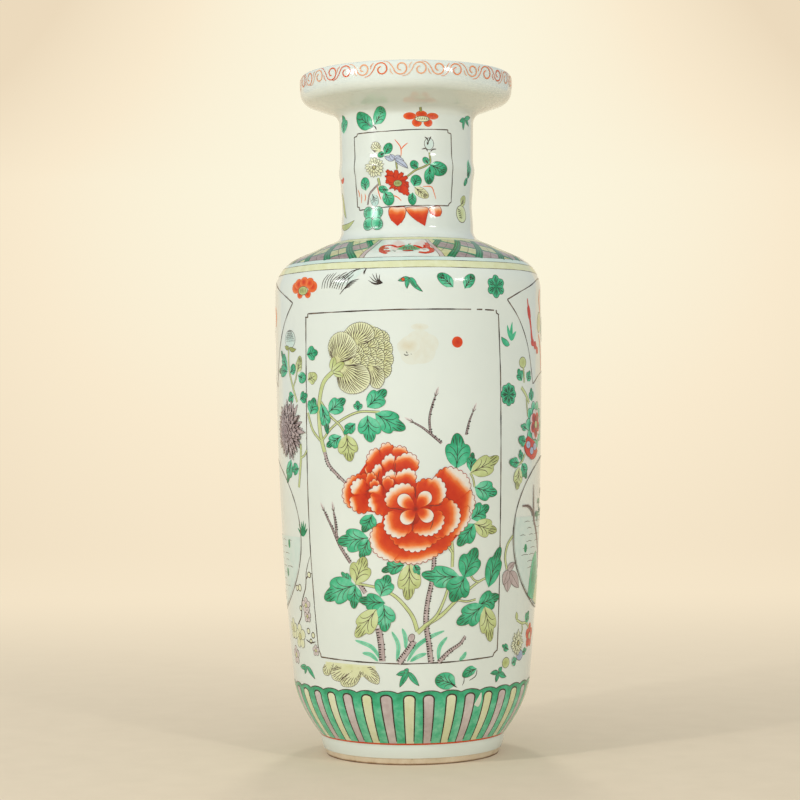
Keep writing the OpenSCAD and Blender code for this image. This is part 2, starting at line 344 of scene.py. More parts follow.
# Each enamel from its deepest colour at shade 0 to its thinnest at shade 1
ENAMELS = {
    "green": [
        (0.0, (16, 102, 64)), (0.3, (34, 146, 98)), (0.55, (68, 180, 133)), (0.8, (122, 204, 166)),
        (1.0, (174, 218, 192)),
    ],
    "lime": [(0.0, (148, 156, 80)), (0.5, (192, 203, 140)), (1.0, (216, 224, 182))],
    "yellow": [(0.0, (174, 168, 108)), (0.5, (207, 209, 158)), (1.0, (222, 225, 192))],
    "aubergine": [(0.0, (122, 98, 98)), (0.5, (178, 161, 157)), (1.0, (212, 202, 196))],
    "turquoise": [(0.0, (146, 196, 186)), (0.5, (190, 214, 204)), (1.0, (210, 222, 212))],
    "lilac": [(0.0, (104, 118, 160)), (0.5, (158, 170, 194)), (1.0, (200, 207, 216))],
    "red": [
        (0.0, (136, 34, 18)), (0.14, (190, 42, 12)), (0.36, (209, 68, 20)), (0.58, (225, 116, 50)),
        (0.78, (232, 176, 130)), (1.0, (224, 219, 206)),
    ],
    "brown": [(0.0, (40, 31, 25)), (0.6, (86, 70, 57)), (1.0, (150, 128, 104))],
    "stain": [(0.0, (206, 194, 160)), (1.0, (216, 219, 204))],
}
# Height of the band of painted shade, dark where the bare foot stands on the floor
CONTACT_SHADE_HEIGHT = 1.6
# How much an enamel's shade wanders over the surface
WANDER = {"red": 0.16, "brown": 0.5}
USUAL_WANDER = 0.34


def enamel_material(name):
    """Glossy enamel whose colour follows the shade of each stroke."""
    shader = Shader(f"{name}_enamel")
    stroke = shader.node("ShaderNodeAttribute", attribute_name="shade").outputs["Fac"]
    wander = WANDER.get(name, USUAL_WANDER)
    drift = shader.spread(shader.noise(scale=230, detail=4), -wander, wander)
    stops = [(position, colour(*shown)) for position, shown in ENAMELS[name]]
    return shader.set(
        Base_Color=shader.ramp(shader.math("ADD", stroke, drift), stops),
        Roughness=shader.spread(shader.noise(scale=420), low=0.06, high=0.18),
        Normal=shader.bump(shader.noise(scale=900, detail=2), strength=0.15, depth=0.06),
    )


def glaze_material():
    """Clear glaze over white porcelain."""
    shader = Shader("porcelain_glaze")
    stops = [(0.3, colour(214, 221, 211)), (0.7, colour(220, 226, 216))]
    return shader.set(
        Base_Color=shader.ramp(shader.noise(scale=14, detail=5), stops),
        Roughness=shader.spread(shader.noise(scale=60), low=0.07, high=0.16),
        Normal=shader.bump(shader.noise(scale=45, detail=3), strength=0.12, depth=0.3),
        Coat_Weight=0.3,
        Coat_Roughness=0.05,
    )


def clay_material():
    """Bare fired clay, with painted shade that darkens it towards the floor where the foot stands."""
    shader = Shader("bare_clay")
    height = shader.node("ShaderNodeSeparateXYZ", Vector=shader.place()).outputs["Z"]
    # Painted shade: the clay turns dark brown towards the very bottom of the foot, where it meets the
    # floor
    clear_of_contact_shade = shader.node("ShaderNodeMapRange", Value=height, From_Max=CONTACT_SHADE_HEIGHT * MM)
    grain = shader.noise(scale=120, detail=8, rough=0.7)
    grain_and_contact_shade = shader.math("MULTIPLY", grain, clear_of_contact_shade.outputs["Result"])
    stops = [
        (0.1, colour(112, 84, 60)), (0.27, colour(166, 140, 106)), (0.42, colour(212, 194, 164)),
        (0.75, colour(228, 214, 188)),
    ]
    return shader.set(
        Base_Color=shader.ramp(grain_and_contact_shade, stops),
        Roughness=shader.spread(shader.noise(scale=300), low=0.6, high=0.85),
        Normal=shader.bump(shader.noise(scale=1400, detail=6, rough=0.7), strength=0.5, depth=0.12),
    )


def slip_material():
    """The slip in the seams, a little greyer than the clay."""
    shader = Shader("luting_slip")
    stops = [(0.3, colour(196, 184, 160)), (0.7, colour(214, 203, 180))]
    return shader.set(
        Base_Color=shader.ramp(shader.noise(scale=160, detail=5), stops),
        Roughness=shader.spread(shader.noise(scale=260), low=0.55, high=0.8),
        Normal=shader.bump(shader.noise(scale=900, detail=5), strength=0.4, depth=0.1),
    )


# Brushwork


class Film:
    """All strokes of one enamel in one region, which become one piece."""

    def __init__(self):
        self.corners = []
        self.faces = []
        self.shades = []
        self.count = 0

    def add(self, corners, faces, shade):
        """Adds one stroke."""
        self.corners.append(corners)
        self.faces.append(faces + self.count)
        self.shades.append(shade)
        self.count += len(corners)


films = {}
crossings = np.zeros((int(360 / CELL_DEG), int(skin_length[-1] / CELL_LENGTH) + 1), int)


class Painter:
    """Paints a region as if it lay flat: u runs to the right round the vase, v up it.

    facing is the direction of u = 0, counted to the right from the front, and radius turns u
    into an angle. v is the height, or the length along the surface from a start height."""

    def __init__(self, region, facing, radius, mirror=False, start=None):
        self.region = region
        self.facing = facing
        self.radius = radius
        self.side = -1 if mirror else 1
        self.start = start

    def where(self, points):
        """Angle round the vase and length along its outside of each point."""
        angle = math.radians(self.facing - 90) + self.side * points[:, 0] / self.radius
        if self.start is None:
            return angle, np.interp(points[:, 1], skin[:, 1], skin_length)
        return angle, np.interp(self.start, skin[:, 1], skin_length) + points[:, 1]

    def lay(self, enamel, grid, shade, level=None):
        """Lays a film over a grid of points, on top of what it crosses, and returns its level."""
        rows, columns = grid.shape[:2]
        angle, along = self.where(grid.reshape(-1, 2))
        round_cell = (np.degrees(angle) % 360 / CELL_DEG).astype(int) % len(crossings)
        up_cell = np.clip(along / CELL_LENGTH, 0, crossings.shape[1] - 1).astype(int)
        if level is None:
            level = crossings[round_cell, up_cell].max() + 1
        crossings[round_cell, up_cell] = np.maximum(crossings[round_cell, up_cell], level)
        lift = np.full((rows, columns), BED + level * FILM)
        lift[[0, -1], :] = BED + level * FILM - EDGE
        lift[:, [0, -1]] = BED + level * FILM - EDGE
        lift = lift.ravel()
        radius = np.interp(along, skin_length, skin[:, 0])
        radius += lift * np.interp(along, skin_length, skin_normal[:, 0])
        height = np.interp(along, skin_length, skin[:, 1])
        height += lift * np.interp(along, skin_length, skin_normal[:, 1])
        corners = np.stack([radius * np.cos(angle), radius * np.sin(angle), height], axis=1) * MM
        index = np.arange(rows * columns).reshape(rows, columns)
        faces = np.stack(
            [index[:-1, :-1], index[1:, :-1], index[1:, 1:], index[:-1, 1:]], axis=-1
        ).reshape(-1, 4)
        down = grid[1:, :-1] - grid[:-1, :-1]
        across = grid[:-1, 1:] - grid[:-1, :-1]
        turn = self.side * (down[..., 0] * across[..., 1] - down[..., 1] * across[..., 0]).sum()
        film = films.setdefault((self.region, enamel), Film())
        shades = np.broadcast_to(shade, (rows, columns)).ravel()
        film.add(corners, faces if turn > 0 else faces[:, ::-1], shades)
        return level

    def line(self, enamel, points, width, shade, level=None, taper=0.4, step=LINE_STEP):
        """A brush line. width is one number, or the widths at its two ends.

        taper is the share of the width that is left at the very ends."""
        curve = brush_path(points, step)
        t = np.linspace(0, 1, len(curve))
        swell = taper + (1 - taper) * np.sqrt(np.clip(np.sin(math.pi * t), 0, 1))
        return self.lay(enamel, ribbon(curve, between(width, t) * swell / 2), shade, level)

    def patch(self, enamel, outline, shade, level=None, centre=None):
        """A filled shape round its centre. shade runs from the centre to the edge."""
        outline = np.asarray(outline, float)
        centre = outline[:-1].mean(axis=0) if centre is None else np.asarray(centre, float)
        reach = np.linalg.norm(outline - centre, axis=1).max()
        steps = np.linspace(0, 1, max(3, math.ceil(reach / PATCH_STEP) + 1))
        return self.lay(enamel, radial_grid(centre, outline, steps), between(shade, steps), level)

    def ring_of(self, centre, radius, squash=1.0, turn=0.0, lobes=0, depth=0.0):
        """Outline of a round, oval or lobed shape. Its last point is its first."""
        count = max(20, math.ceil(2 * math.pi * radius / LINE_STEP))
        a = np.linspace(0, 2 * math.pi, count + 1)
        reach = radius * (1 - depth * (1 - np.abs(np.cos(lobes * a / 2))))
        flat = np.stack([reach * np.cos(a), squash * reach * np.sin(a)], axis=1)
        ahead = heading(turn)
        return np.asarray(centre, float) + flat @ np.array([ahead, [-ahead[1], ahead[0]]])

    def spot(self, enamel, centre, radius, shade, edge="brown", line=0.35, **form):
        """A round, oval or lobed spot of enamel with a thin line round it."""
        outline = self.ring_of(centre, radius, **form)
        level = self.patch(enamel, outline, shade, centre=centre)
        if edge:
            self.line(edge, outline, width=line, shade=INK, level=level + 1, taper=1)
        return level

    def blade(self, enamel, base, tip, width, bend, shade, edge=None):
        """A slim pointed leaf or petal. bend is its bow as a share of its length."""
        base = np.asarray(base, float)
        along = np.asarray(tip, float) - base
        side = np.array([-along[1], along[0]])
        t = np.linspace(0, 1, max(6, math.ceil(np.linalg.norm(along) / LINE_STEP)))
        middle = base + t[:, None] * along + (4 * t * (1 - t) * bend)[:, None] * side
        # Widest a little below the middle
        strip = ribbon(middle, width / 2 * np.sin(math.pi * t ** 0.8) ** 0.8)
        level = self.lay(enamel, strip, shade)
        if edge:
            for side_line in (strip[:, 0], strip[:, 2]):
                self.line(edge, side_line, width=HAIRLINE, shade=INK, level=level + 1, taper=0.7)
        return level

    def leaf(self, base, tip, width, enamel="green", lobes=3, bend=None, veins=2):
        """A rounded leaf with a lobed end, veins and a darker tip."""
        base = np.asarray(base, float)
        along = np.asarray(tip, float) - base
        length = np.linalg.norm(along)
        ahead = along / length
        side = np.array([-ahead[1], ahead[0]])
        bend = chance.uniform(-0.12, 0.12) if bend is None else bend
        uneven = chance.uniform(-0.1, 0.1)
        depth = LEAF_NOTCH if lobes else 0.0

        def at(share, reach):
            """A point of the leaf, by its turn from the midrib, -1 to 1, and its share of the reach."""
            share, reach = np.broadcast_arrays(np.asarray(share, float), np.asarray(reach, float))
            turn = share * math.radians(LEAF_TURN)
            far = np.maximum(np.cos(share * math.pi / 2), 0) ** LEAF_BLUNT * (1 + uneven * share)
            notch = 1 - np.abs(np.cos(lobes * share * math.pi / 2))
            far = reach * far * (1 - depth * notch * reach ** 4)
            forth = length * far * np.cos(turn)
            aside = LEAF_WIDTH * width * far * np.sin(turn) + bend * forth * forth / length
            return base + forth[..., None] * ahead + aside[..., None] * side

        share = np.linspace(-1, 1, max(19, 2 * math.ceil(width) + 1))[:, None]
        reach = np.linspace(0, 1, max(6, math.ceil(length / PATCH_STEP)))[None, :]
        tip_depth = np.clip((reach - 0.5) / 0.5, 0, 1) ** 1.5 * (1 - 0.5 * np.abs(share))
        shade = LEAF_TONE + chance.uniform(-0.08, 0.1) - LEAF_TIP * tip_depth + LEAF_EDGE * share ** 2
        level = self.lay(enamel, at(share, reach), shade) + 1
        ink = 0.35 if enamel in ("lime", "yellow") else 0.1
        outline = at(share[:, 0], 1.0)[1:-1]
        midrib = at(0.0, np.linspace(0, VEIN_TOP, 6))
        self.line("brown", outline, width=0.24, shade=0.7, level=level, taper=0.8)
        self.line("brown", midrib, width=(0.6, 0.32), shade=ink, level=level)
        climb = np.linspace(0, 1, 6)
        for i in range(veins):
            foot = VEIN_FOOT + VEIN_STEP * i
            for hand in (1, -1):
                swing = hand * (VEIN_SWING - VEIN_STEP * i) * climb ** 0.8
                vein = at(swing, foot + (VEIN_TOP - foot) * climb)
                self.line("brown", vein, width=0.42, shade=ink + 0.05, level=level)
        if length > LONG_LEAF:
            for swing in (-0.22, -0.1, 0.06, 0.18):
                stroke = np.array([chance.uniform(0.64, 0.76), 0.96])
                self.line("brown", at(swing, stroke), width=0.5, shade=ink, level=level)

    def petal(self, base, rim, white, deep, scallop=4.0, span=(0.0, 1.0), edge=0.86):
        """A red petal from its base to a scalloped rim, pale along the rim and deep below it.

        white is the width of the pale edge, span the share of the rim that has it, edge its shade,
        deep the distance over which it darkens, and scallop the length of one scallop."""
        base = np.asarray(base, float)
        rim = smooth(rim, 0.5)
        run = length_along(rim)
        f = run / run[-1]
        count = max(1, round(run[-1] / scallop))
        rays = rim - base
        reach = np.linalg.norm(rays, axis=1)
        notch = SCALLOP_DEPTH * (1 - np.abs(np.sin(math.pi * count * f))) ** 1.3
        cut = 1 - np.minimum(notch / reach, 0.3)
        rim = base + rays * cut[:, None]
        # Steps that grow shorter towards the rim
        steps = 1 - (1 - np.linspace(0, 1, max(8, math.ceil(reach.max() / 0.8)))) ** 1.15
        within = np.sin(math.pi * np.clip((f - span[0]) / (span[1] - span[0]), 0, 1))
        below = reach[:, None] * (1 - cut[:, None] * steps) - (white * within ** 0.55)[:, None]
        top = (edge * (0.6 + 0.4 * within ** 0.4))[:, None]
        shade = PETAL_DEEP + (top - PETAL_DEEP) * np.exp(-((np.maximum(below, 0) / deep) ** 1.2))
        shade = np.where(below < 0, np.minimum(top - 0.12 * below, 1), shade)
        level = self.lay("red", radial_grid(base, rim, steps), shade)
        self.line("red", rim, width=0.4, shade=0.04, level=level + 1, taper=0.8, step=0.7)
        return level

    def lined_petal(self, base, rim, gap=1.7, first=0.2, shade=(0.3, 0.8), edge=0.5):
        """A pale petal with a fluted rim and fine lines that fan out from its base.

        gap is the space between the lines at the rim, and first the share of the way out where they
        start. shade runs from the base to the rim, and edge is the shade of the line round it."""
        base = np.asarray(base, float)
        rim = smooth(rim, 0.4)
        run = length_along(rim)
        count = max(3, round(run[-1] / gap))
        rays = rim - base
        reach = np.linalg.norm(rays, axis=1)
        flute = FLUTE_DEPTH * (1 - np.abs(np.sin(math.pi * count * run / run[-1]))) ** 1.4
        rim = base + rays * (1 - np.minimum(flute / reach, 0.2))[:, None]
        steps = np.linspace(0, 1, max(5, math.ceil(reach.max() / PATCH_STEP)))
        level = self.lay("yellow", radial_grid(base, rim, steps), between(shade, steps)) + 1
        self.line("brown", rim, width=0.3, shade=edge, level=level, taper=0.8, step=0.7)
        sway = chance.uniform(-0.1, 0.1)
        for i in range(1, count):
            end = rim[np.searchsorted(run, run[-1] * i / count)]
            ray = end - base
            wave = np.array([-ray[1], ray[0]]) * sway
            start = base + ray * (first + LINE_STAGGER * (i % 2) + chance.uniform(0, 0.06))
            points = [start, (start + end) / 2 + wave, base + ray * 0.97]
            self.line("brown", points, width=0.46, shade=0.5, level=level)

    def stem(self, points, width, enamel="lime", shade=0.5):
        """A smooth stalk with a thin line along each side."""
        level = self.line(enamel, points, width, shade, taper=0.85) + 1
        curve = brush_path(points, LINE_STEP)
        strip = ribbon(curve, between(width, np.linspace(0, 1, len(curve))) / 2 * 0.92)
        for side_line in (strip[:, 0], strip[:, 2]):
            self.line("brown", side_line, width=0.32, shade=0.45, level=level, taper=0.7)
        return level

    def branch(self, points, width, shade=0.55):
        """A woody branch with dark ticks along one edge, thorns on the other and dots between."""
        level = self.stem(points, width, "aubergine", shade) + 1
        curve = brush_path(points, 0.4)
        run = length_along(curve)
        side = crossways(curve)
        for distance in np.arange(0.8, run[-1] - 0.5, TICK_STEP):
            i = int(np.searchsorted(run, distance))
            half = between(width, distance / run[-1]) / 2
            edge = curve[i] + side[i] * half
            tick = [edge, edge - side[i] * half * chance.uniform(0.5, 1.1)]
            self.line("brown", tick, width=0.8, shade=-0.1, level=level, taper=0.8)
            pick = chance.random()
            if pick < 0.5:
                thorn = curve[i] - side[i] * half
                spike = [thorn + side[i] * 0.5, thorn - side[i] * 0.6]
                self.line("brown", spike, width=1.0, shade=-0.1, level=level, taper=0.7)
            elif pick < 0.85:
                dot = curve[i] - side[i] * half * chance.uniform(0.0, 0.6)
                self.line("brown", [dot, dot + side[i] * 0.4], width=0.4, shade=0.2, level=level)

    def twig(self, points, width):
        """A bare twig that ends in a small spray."""
        self.branch(points, width, 0.3)
        tip = np.asarray(points[-1], float)
        last = tip - np.asarray(points[-2], float)
        ahead = math.degrees(math.atan2(last[1], last[0]))
        self.blade("aubergine", tip, tip + heading(ahead) * 7, width=1.8, bend=0.0, shade=0.95)
        for swing, reach in ((-22, 3.4), (3, 5.2), (25, 2.8)):
            points = [tip, tip + heading(ahead + swing) * reach]
            self.line("brown", points, width=(0.55, 0.25), shade=0.5)

    def grass(self, points):
        """A blade of grass."""
        level = self.line("green", points, width=2.8, shade=0.72, taper=0.12)
        self.line("brown", points, width=0.2, shade=0.85, level=level + 1)

    def round_leaf(self, centre, radius, turn):
        """A small rounded leaf. turn is the way it points."""
        reach = heading(turn) * radius
        self.leaf(centre - reach, centre + reach, 2.1 * radius * 0.9)

    def rosette(self, centre, radius, petals, depth):
        """A lobed green flower head seen from the front, with veins."""
        centre = np.asarray(centre, float)
        form = {"turn": 90, "lobes": petals, "depth": depth}
        level = self.spot("green", centre, radius, (0.25, 0.55), **form) + 1
        for i in range(petals):
            for swing, start, reach in ((0, 0.1, 0.9), (-0.25, 0.35, 0.75), (0.25, 0.35, 0.75)):
                ahead = heading(90 + 360 * (i + swing) / petals) * radius
                vein = [centre + ahead * start, centre + ahead * reach]
                self.line("brown", vein, width=0.55, shade=0.0, level=level)

    def bloom(self, centre, radius, petals=5, enamel="red", eye="yellow", turn=90.0, shade=(0.1, 0.5)):
        """A small open flower of round petals round an eye."""
        centre = np.asarray(centre, float)
        edge = "red" if enamel == "red" else "brown"
        for way in [turn + 360 * i / petals for i in range(petals)]:
            middle = centre + heading(way) * radius * 0.58
            self.spot(enamel, middle, radius * 0.46, shade, edge, 0.3, squash=0.9, turn=way)
        self.spot(eye, centre, radius * 0.3, (0.2, 0.4), line=0.3)

    def mum(self, centre, radius, enamel, rings, shade):
        """A chrysanthemum of many slim petals in rings, darker towards the middle.

        rings are its rings as (share of the radius, number of petals), the outer one first."""
        centre = np.asarray(centre, float)
        for share, count in rings:
            reach = radius * share
            # Neighbours overlap by a quarter, measured at 0.72 of the reach
            width = 2 * math.pi * reach * 0.72 / count * 1.25
            for i in range(count):
                ahead = heading(360 * (i + 0.5 * share) / count + chance.uniform(-6, 6))
                length = reach * chance.uniform(0.84, 1.06)
                tint = shade + 0.3 * (share - 0.7) + chance.uniform(-0.15, 0.15)
                foot = centre + ahead * reach * 0.3
                self.blade(enamel, foot, centre + ahead * length, width, 0, tint, "brown")
        self.spot(enamel, centre, radius * 0.16, (0.1, 0.3), line=0.3)

    def bamboo(self, origin, tips, width):
        """Slim leaves from one point."""
        for tip in tips:
            bend = chance.uniform(-0.08, 0.08)
            level = self.blade("green", origin, tip, width, bend, shade=0.45, edge="brown")
            self.line("brown", [origin, tip], width=0.3, shade=0.3, level=level + 1)

    def frame(self, corners, width=0.76):
        """A hand-drawn line through points, a little uneven in width and depth."""
        curve = straight(corners, 1.4)
        run = np.arange(len(curve))
        half = width / 2 * (1 + 0.22 * np.sin(run * 0.31) + 0.1 * np.sin(run * 0.83))
        shade = 0.42 + 0.24 * np.sin(run * 0.17) + 0.14 * np.sin(run * 0.51)
        self.lay("brown", ribbon(curve, half), shade[:, None])


# Radii at which the painted regions are laid out flat
PANEL_RADIUS = 86.0
SIDE_RADIUS = 88.0
LEFT_FAN_RADIUS = 94.0
LOWER_RADIUS = 77.0
NECK_RADIUS = 44.3

# Flowering panel of the body

PANEL_FRAME = [
    [(-65.5, 289.2), (-40, 289.4), (0, 290), (44, 290.1)],
    [(48, 290.1), (52, 290.1)],
    [(54, 290), (61, 289.8)],
    [(-65.5, 289.2), (-65.5, 287), (-68, 287)],
    [(-67.4, 287.5), (-68, 240), (-69, 200), (-69.5, 170), (-69.5, 140), (-68.5, 100), (-67.6, 74)],
    [(-67.6, 74), (-65.6, 71.6), (-65.4, 69.6)],
    [(-65.4, 69.6), (-30, 68.2), (0, 67.4), (30, 68), (64, 69.5)],
    [(64, 69.5), (65, 71.5), (68, 73.5)],
    [(68, 73), (67.5, 110), (66.8, 150), (66.5, 200), (66, 250), (64.6, 287)],
    [(65, 287), (63, 288), (62.6, 290)],
]
# Stalks, branches and twigs as points and width, or the widths at the two ends
STALKS = [
    ([(-45, 252), (-52, 246), (-56, 235), (-57, 222), (-55.5, 210), (-53, 201)], 3.0),
    ([(-67, 226), (-62, 214), (-56, 208)], 1.6),
    ([(-54, 209), (-46, 217), (-38, 222), (-28, 226), (-14, 226)], 1.4),
    ([(-55, 233), (-48, 224), (-40, 217), (-36, 210)], 1.4),
    ([(8, 88), (5, 97), (0, 104), (-6, 110), (-13, 114), (-25, 117), (-33, 118)], (2.8, 1.4)),
    ([(8, 87), (14, 92), (24, 98), (33, 106), (42, 113), (50, 118), (58, 121)], (3.0, 1.2)),
    ([(12, 91), (20, 97), (25, 106), (28, 114)], (2.2, 1.6)),
    ([(31, 128), (31, 140), (30, 147)], 2.0),
    ([(31, 137), (29, 140), (27, 142)], 1.6),
    ([(35, 107), (42, 106), (48, 107)], 1.2),
    ([(50, 118), (47, 119), (44, 122)], 1.2),
    ([(43, 187), (45, 183), (46, 178)], 1.2),
]
BRANCHES = [
    ([(-53, 201), (-50, 193), (-44, 187), (-37, 181)], (2.6, 1.8)),
    ([(17, 68), (15.5, 80), (13.5, 95), (15, 108), (18, 122), (19, 137)], (3.8, 2.4)),
    ([(-16, 69), (-16.5, 80), (-18, 90)], 4.4),
    ([(-5, 68), (0, 74), (6, 82)], (4.2, 3.6)),
    ([(22, 68), (30, 75), (38, 80), (41, 84)], (3.0, 1.8)),
    ([(-30, 118), (-28, 115), (-26, 112)], 3.0),
]
TWIGS = [
    ([(-36, 131), (-44, 142.6), (-49, 153), (-54.6, 163)], (2.2, 1.3)),
    ([(-45.4, 146), (-46, 155), (-47.2, 163)], (1.8, 1.2)),
    ([(24, 206), (17, 212), (12, 216), (7, 219)], (1.7, 1.0)),
    ([(17, 212), (16.5, 222), (18.6, 231), (20, 235)], (1.5, 0.9)),
    ([(40, 211), (42.4, 220), (44.6, 225)], (1.5, 0.9)),
]
GRASSES = [
    [(-17, 70), (-22, 77), (-35, 82)], [(-19, 69), (-24, 73), (-30, 74)],
    [(-6, 69), (-5, 80), (-9, 88)], [(0, 77), (0, 84), (-2, 90)],
    [(1, 69), (7, 78), (18, 85), (26, 88)], [(3, 69), (8, 72), (14, 74)],
    [(22, 69), (23, 78), (28, 84)], [(37, 69), (40, 71), (42, 74)],
]
# Leaves as base, tip and width, with an enamel where it isn't green
LEAVES = [
    ((-49, 226), (-37, 235), 11), ((-22, 229), (-10, 240), 12),
    ((-17, 225), (1, 214), 14), ((-22, 224), (-21, 207), 15),
    ((-30, 219), (-38, 212), 7), ((-40, 211), (-51, 204), 9),
    ((-55, 232), (-48, 213), 8), ((-36, 212), (-35, 195), 14, "lime"),
    ((33.5, 190), (36, 212), 17), ((43, 188), (45, 200), 7),
    ((43, 187), (65, 196), 13, "lime"), ((46, 178), (63, 172), 13),
    ((44, 158), (57, 166), 12), ((46, 155), (63, 148), 12, "lime"),
    ((46, 155), (35, 141), 13), ((-23, 147), (-45, 144), 15),
    ((-23, 146), (-29, 134), 10), ((-20, 162), (-25, 150), 11),
    ((-33, 118), (-26, 135), 15, "lime"), ((-36, 118), (-43, 125), 6),
    ((-33, 117), (-59, 110), 17), ((-33, 117), (-35, 102), 11),
    ((-16, 110), (-11, 124), 13), ((0, 130), (-15, 127), 9),
    ((3, 131), (4, 108), 15, "lime"), ((6, 130), (10, 124), 5),
    ((-13, 106), (-31, 107), 11), ((-14, 105), (-12, 88), 15),
    ((-19, 102), (-33, 83), 14, "lime"), ((36, 122), (11, 121), 14),
    ((40, 122), (31, 106), 17), ((39, 121), (47, 140), 16),
    ((58, 114), (65, 140), 13), ((50, 103), (67, 109), 13),
    ((54, 103), (36, 90), 15), ((55, 102), (63, 80), 14, "lime"),
]
# Rounded leaves as middle, radius and the way they point
ROUND_LEAVES = [((-28, 230), 3.2, 90), ((-62, 230), 5.6, 60), ((-62, 264), 5.0, 10)]
# Petals of the two red peonies, the farthest first: base, width of the pale edge, its span and the rim
BACK_PEONY = [
    ((-8, 190), 1.6, (0.1, 0.8),
     [(-15, 201), (-13, 206), (-10, 207), (-7, 206), (-5, 203)]),
    ((-4, 190), 1.4, (0.0, 0.9),
     [(-7, 203), (-4, 204.6), (0, 204.6), (2.4, 203), (3, 199)]),
    ((-13, 188), 2.4, (0, 0.7),
     [(-15, 203), (-18, 203.4), (-21, 201.5), (-23, 198), (-23.6, 194), (-24.6, 189)]),
    ((-2, 186), 2.6, (0.1, 0.9),
     [(-6, 193), (-5, 196.5), (-2, 199), (2, 200.6), (6, 200), (9, 197), (10, 193), (8.6, 189)]),
    ((-9, 186), 3.6, (0.0, 1.0),
     [(-14, 194), (-11.5, 198), (-8, 200), (-5.4, 199), (-5, 196)]),
    ((-13, 182), 3.2, (0.0, 1.0),
     [(-20, 188), (-18.6, 191.6), (-15.6, 194), (-13, 192)]),
    ((-16, 182), 0.8, (0, 1),
     [(-24.6, 192), (-24, 188), (-23, 184)]),
    ((0, 177), 3.0, (0.05, 0.85),
     [(-6, 184), (-4, 188), (-1, 189.6), (2, 191), (5, 190.4), (7.6, 188), (8.2, 184), (7, 180)]),
    ((-8, 178), 3.8, (0.0, 1.0),
     [(-14, 184), (-11.6, 187.4), (-8, 190), (-5, 189), (-4.4, 186)]),
    ((-10, 176), 0.5, (0.0, 1.0),
     [(-13.8, 181.4), (-12, 184.8), (-9.4, 185.8), (-6.6, 184.4), (-5.4, 181.4)]),
    ((-20, 178), 0.5, (0.0, 1.0),
     [(-24.8, 183), (-23, 187), (-20.4, 188.8), (-17.4, 187), (-16.4, 184)]),
    ((-17, 174), 0.5, (0.0, 1.0),
     [(-22, 180.4), (-20, 183.6), (-17.4, 184.2), (-14.4, 181.4)]),
    ((-24, 175), 1.8, (0.2, 1.0),
     [(-23, 188), (-30, 187), (-35, 185), (-39, 180), (-40.6, 174), (-39, 169), (-35, 165)]),
    ((-23, 175), 4.6, (0.1, 1.0),
     [(-24, 184), (-29, 184.6), (-33, 182), (-34.6, 178), (-33, 174)]),
    ((-24, 174), 2.6, (0.0, 0.5),
     [(-34.6, 173), (-35.4, 169), (-33, 164.4), (-28, 162), (-24, 162.6), (-20, 165)]),
    ((-13, 172), 3.2, (0.0, 0.9),
     [(-23, 176), (-20.6, 178.6), (-17, 180.4), (-13, 180.6)]),
    ((-11, 172), 2.8, (0.1, 0.6),
     [(-20, 176), (-22, 172), (-23, 168), (-20.6, 164.6), (-17, 161.6), (-13, 161), (-8, 163)]),
]
FRONT_PEONY = [
    ((20, 166), 5.5, (0.25, 1.0),
     [(19, 185), (23, 189.6), (29, 191.4), (35, 189.6), (40, 186.4), (43, 181), (44, 174)]),
    ((30, 166), 3.6, (0.0, 1.0),
     [(43, 177), (46, 172), (46.6, 167), (44.6, 162), (40, 158)]),
    ((24, 160), 2.4, (0.0, 0.9),
     [(42, 167), (43.4, 160), (41, 154), (37, 149.6), (30, 145.6)]),
    ((0, 150), 3.6, (0.1, 1.0),
     [(-15, 157), (-20, 153), (-22.4, 146), (-21, 140), (-17, 135.4), (-11, 132.6), (-3, 131)]),
    ((9, 150), 2.2, (0.0, 0.7),
     [(-7, 133), (-1, 131), (6, 130), (13, 131.4), (21, 135.4), (28, 140), (33, 147)]),
    ((8, 156), 2.4, (0.2, 0.8),
     [(-10, 148), (-5, 142), (0, 139), (6, 137.6), (13, 139), (18, 142), (25, 147)]),
    ((14, 161), 3.4, (0.25, 0.85),
     [(19, 168), (25, 172), (31, 170), (35, 166), (36.6, 160), (35.4, 154.6), (31, 150), (25, 146.6),
      (19, 146.6)]),
    ((10, 167), 3.4, (0.25, 1.0),
     [(7.6, 180), (10, 183), (14, 184.4), (17.4, 184), (20.6, 185.6), (24.4, 183), (27, 178),
      (26.6, 173), (23, 168)]),
    ((4, 167), 3.6, (0.05, 0.95),
     [(7.4, 177), (5, 180.4), (1, 181.6), (-4, 181), (-8, 178.4), (-11.4, 174), (-12, 170),
      (-9.4, 165.6)]),
    ((4, 160), 3.4, (0.05, 0.9),
     [(-8, 164.6), (-12, 161), (-13, 156), (-12, 150.6), (-9, 148.4), (-4, 146.4), (0, 147.6),
      (5, 151)]),
    ((11, 160), 2.6, (0.05, 0.9),
     [(5, 151), (9, 148.6), (14, 147.6), (19, 148.4), (23, 151.4), (25.6, 156), (25.6, 160.6),
      (23, 164.4)]),
]
PEONY_HEART = (7.6, 165)
# Middles of the rounded lobes at the peony's heart, counted from the heart
HEART_LOBES = [(-7.0, 5.3), (5.6, 6.8), (-5.5, -5.3), (6.6, -4.2)]
LOBE_RADIUS = 4.7
# Grounds of the two peonies, which show between their petals
PEONY_GROUNDS = [
    [(-22, 196), (-30, 184), (-33, 172), (-24, 164), (-10, 164), (6, 178), (6, 194), (-6, 201),
     (-16, 200), (-22, 196)],
    [(-14, 157), (-10, 173), (2, 180), (18, 183), (32, 187), (41, 178), (42, 166), (39, 154), (28, 142),
     (10, 132), (-8, 134), (-18, 142), (-19, 150), (-14, 157)],
]
# Fine dark strokes where the peony's petals part
PETAL_PARTINGS = [
    [(7.2, 179), (7.4, 172)], [(-9.6, 166), (-5, 165.4), (0, 164.4)], [(16, 167), (21, 167), (24, 168)],
    [(5.4, 151), (5.8, 157)], [(16.4, 152), (18, 156), (18.4, 160)], [(-16, 184), (-15, 189)],
    [(-5.6, 186), (-4.6, 194)], [(-24, 176), (-20, 178)],
]


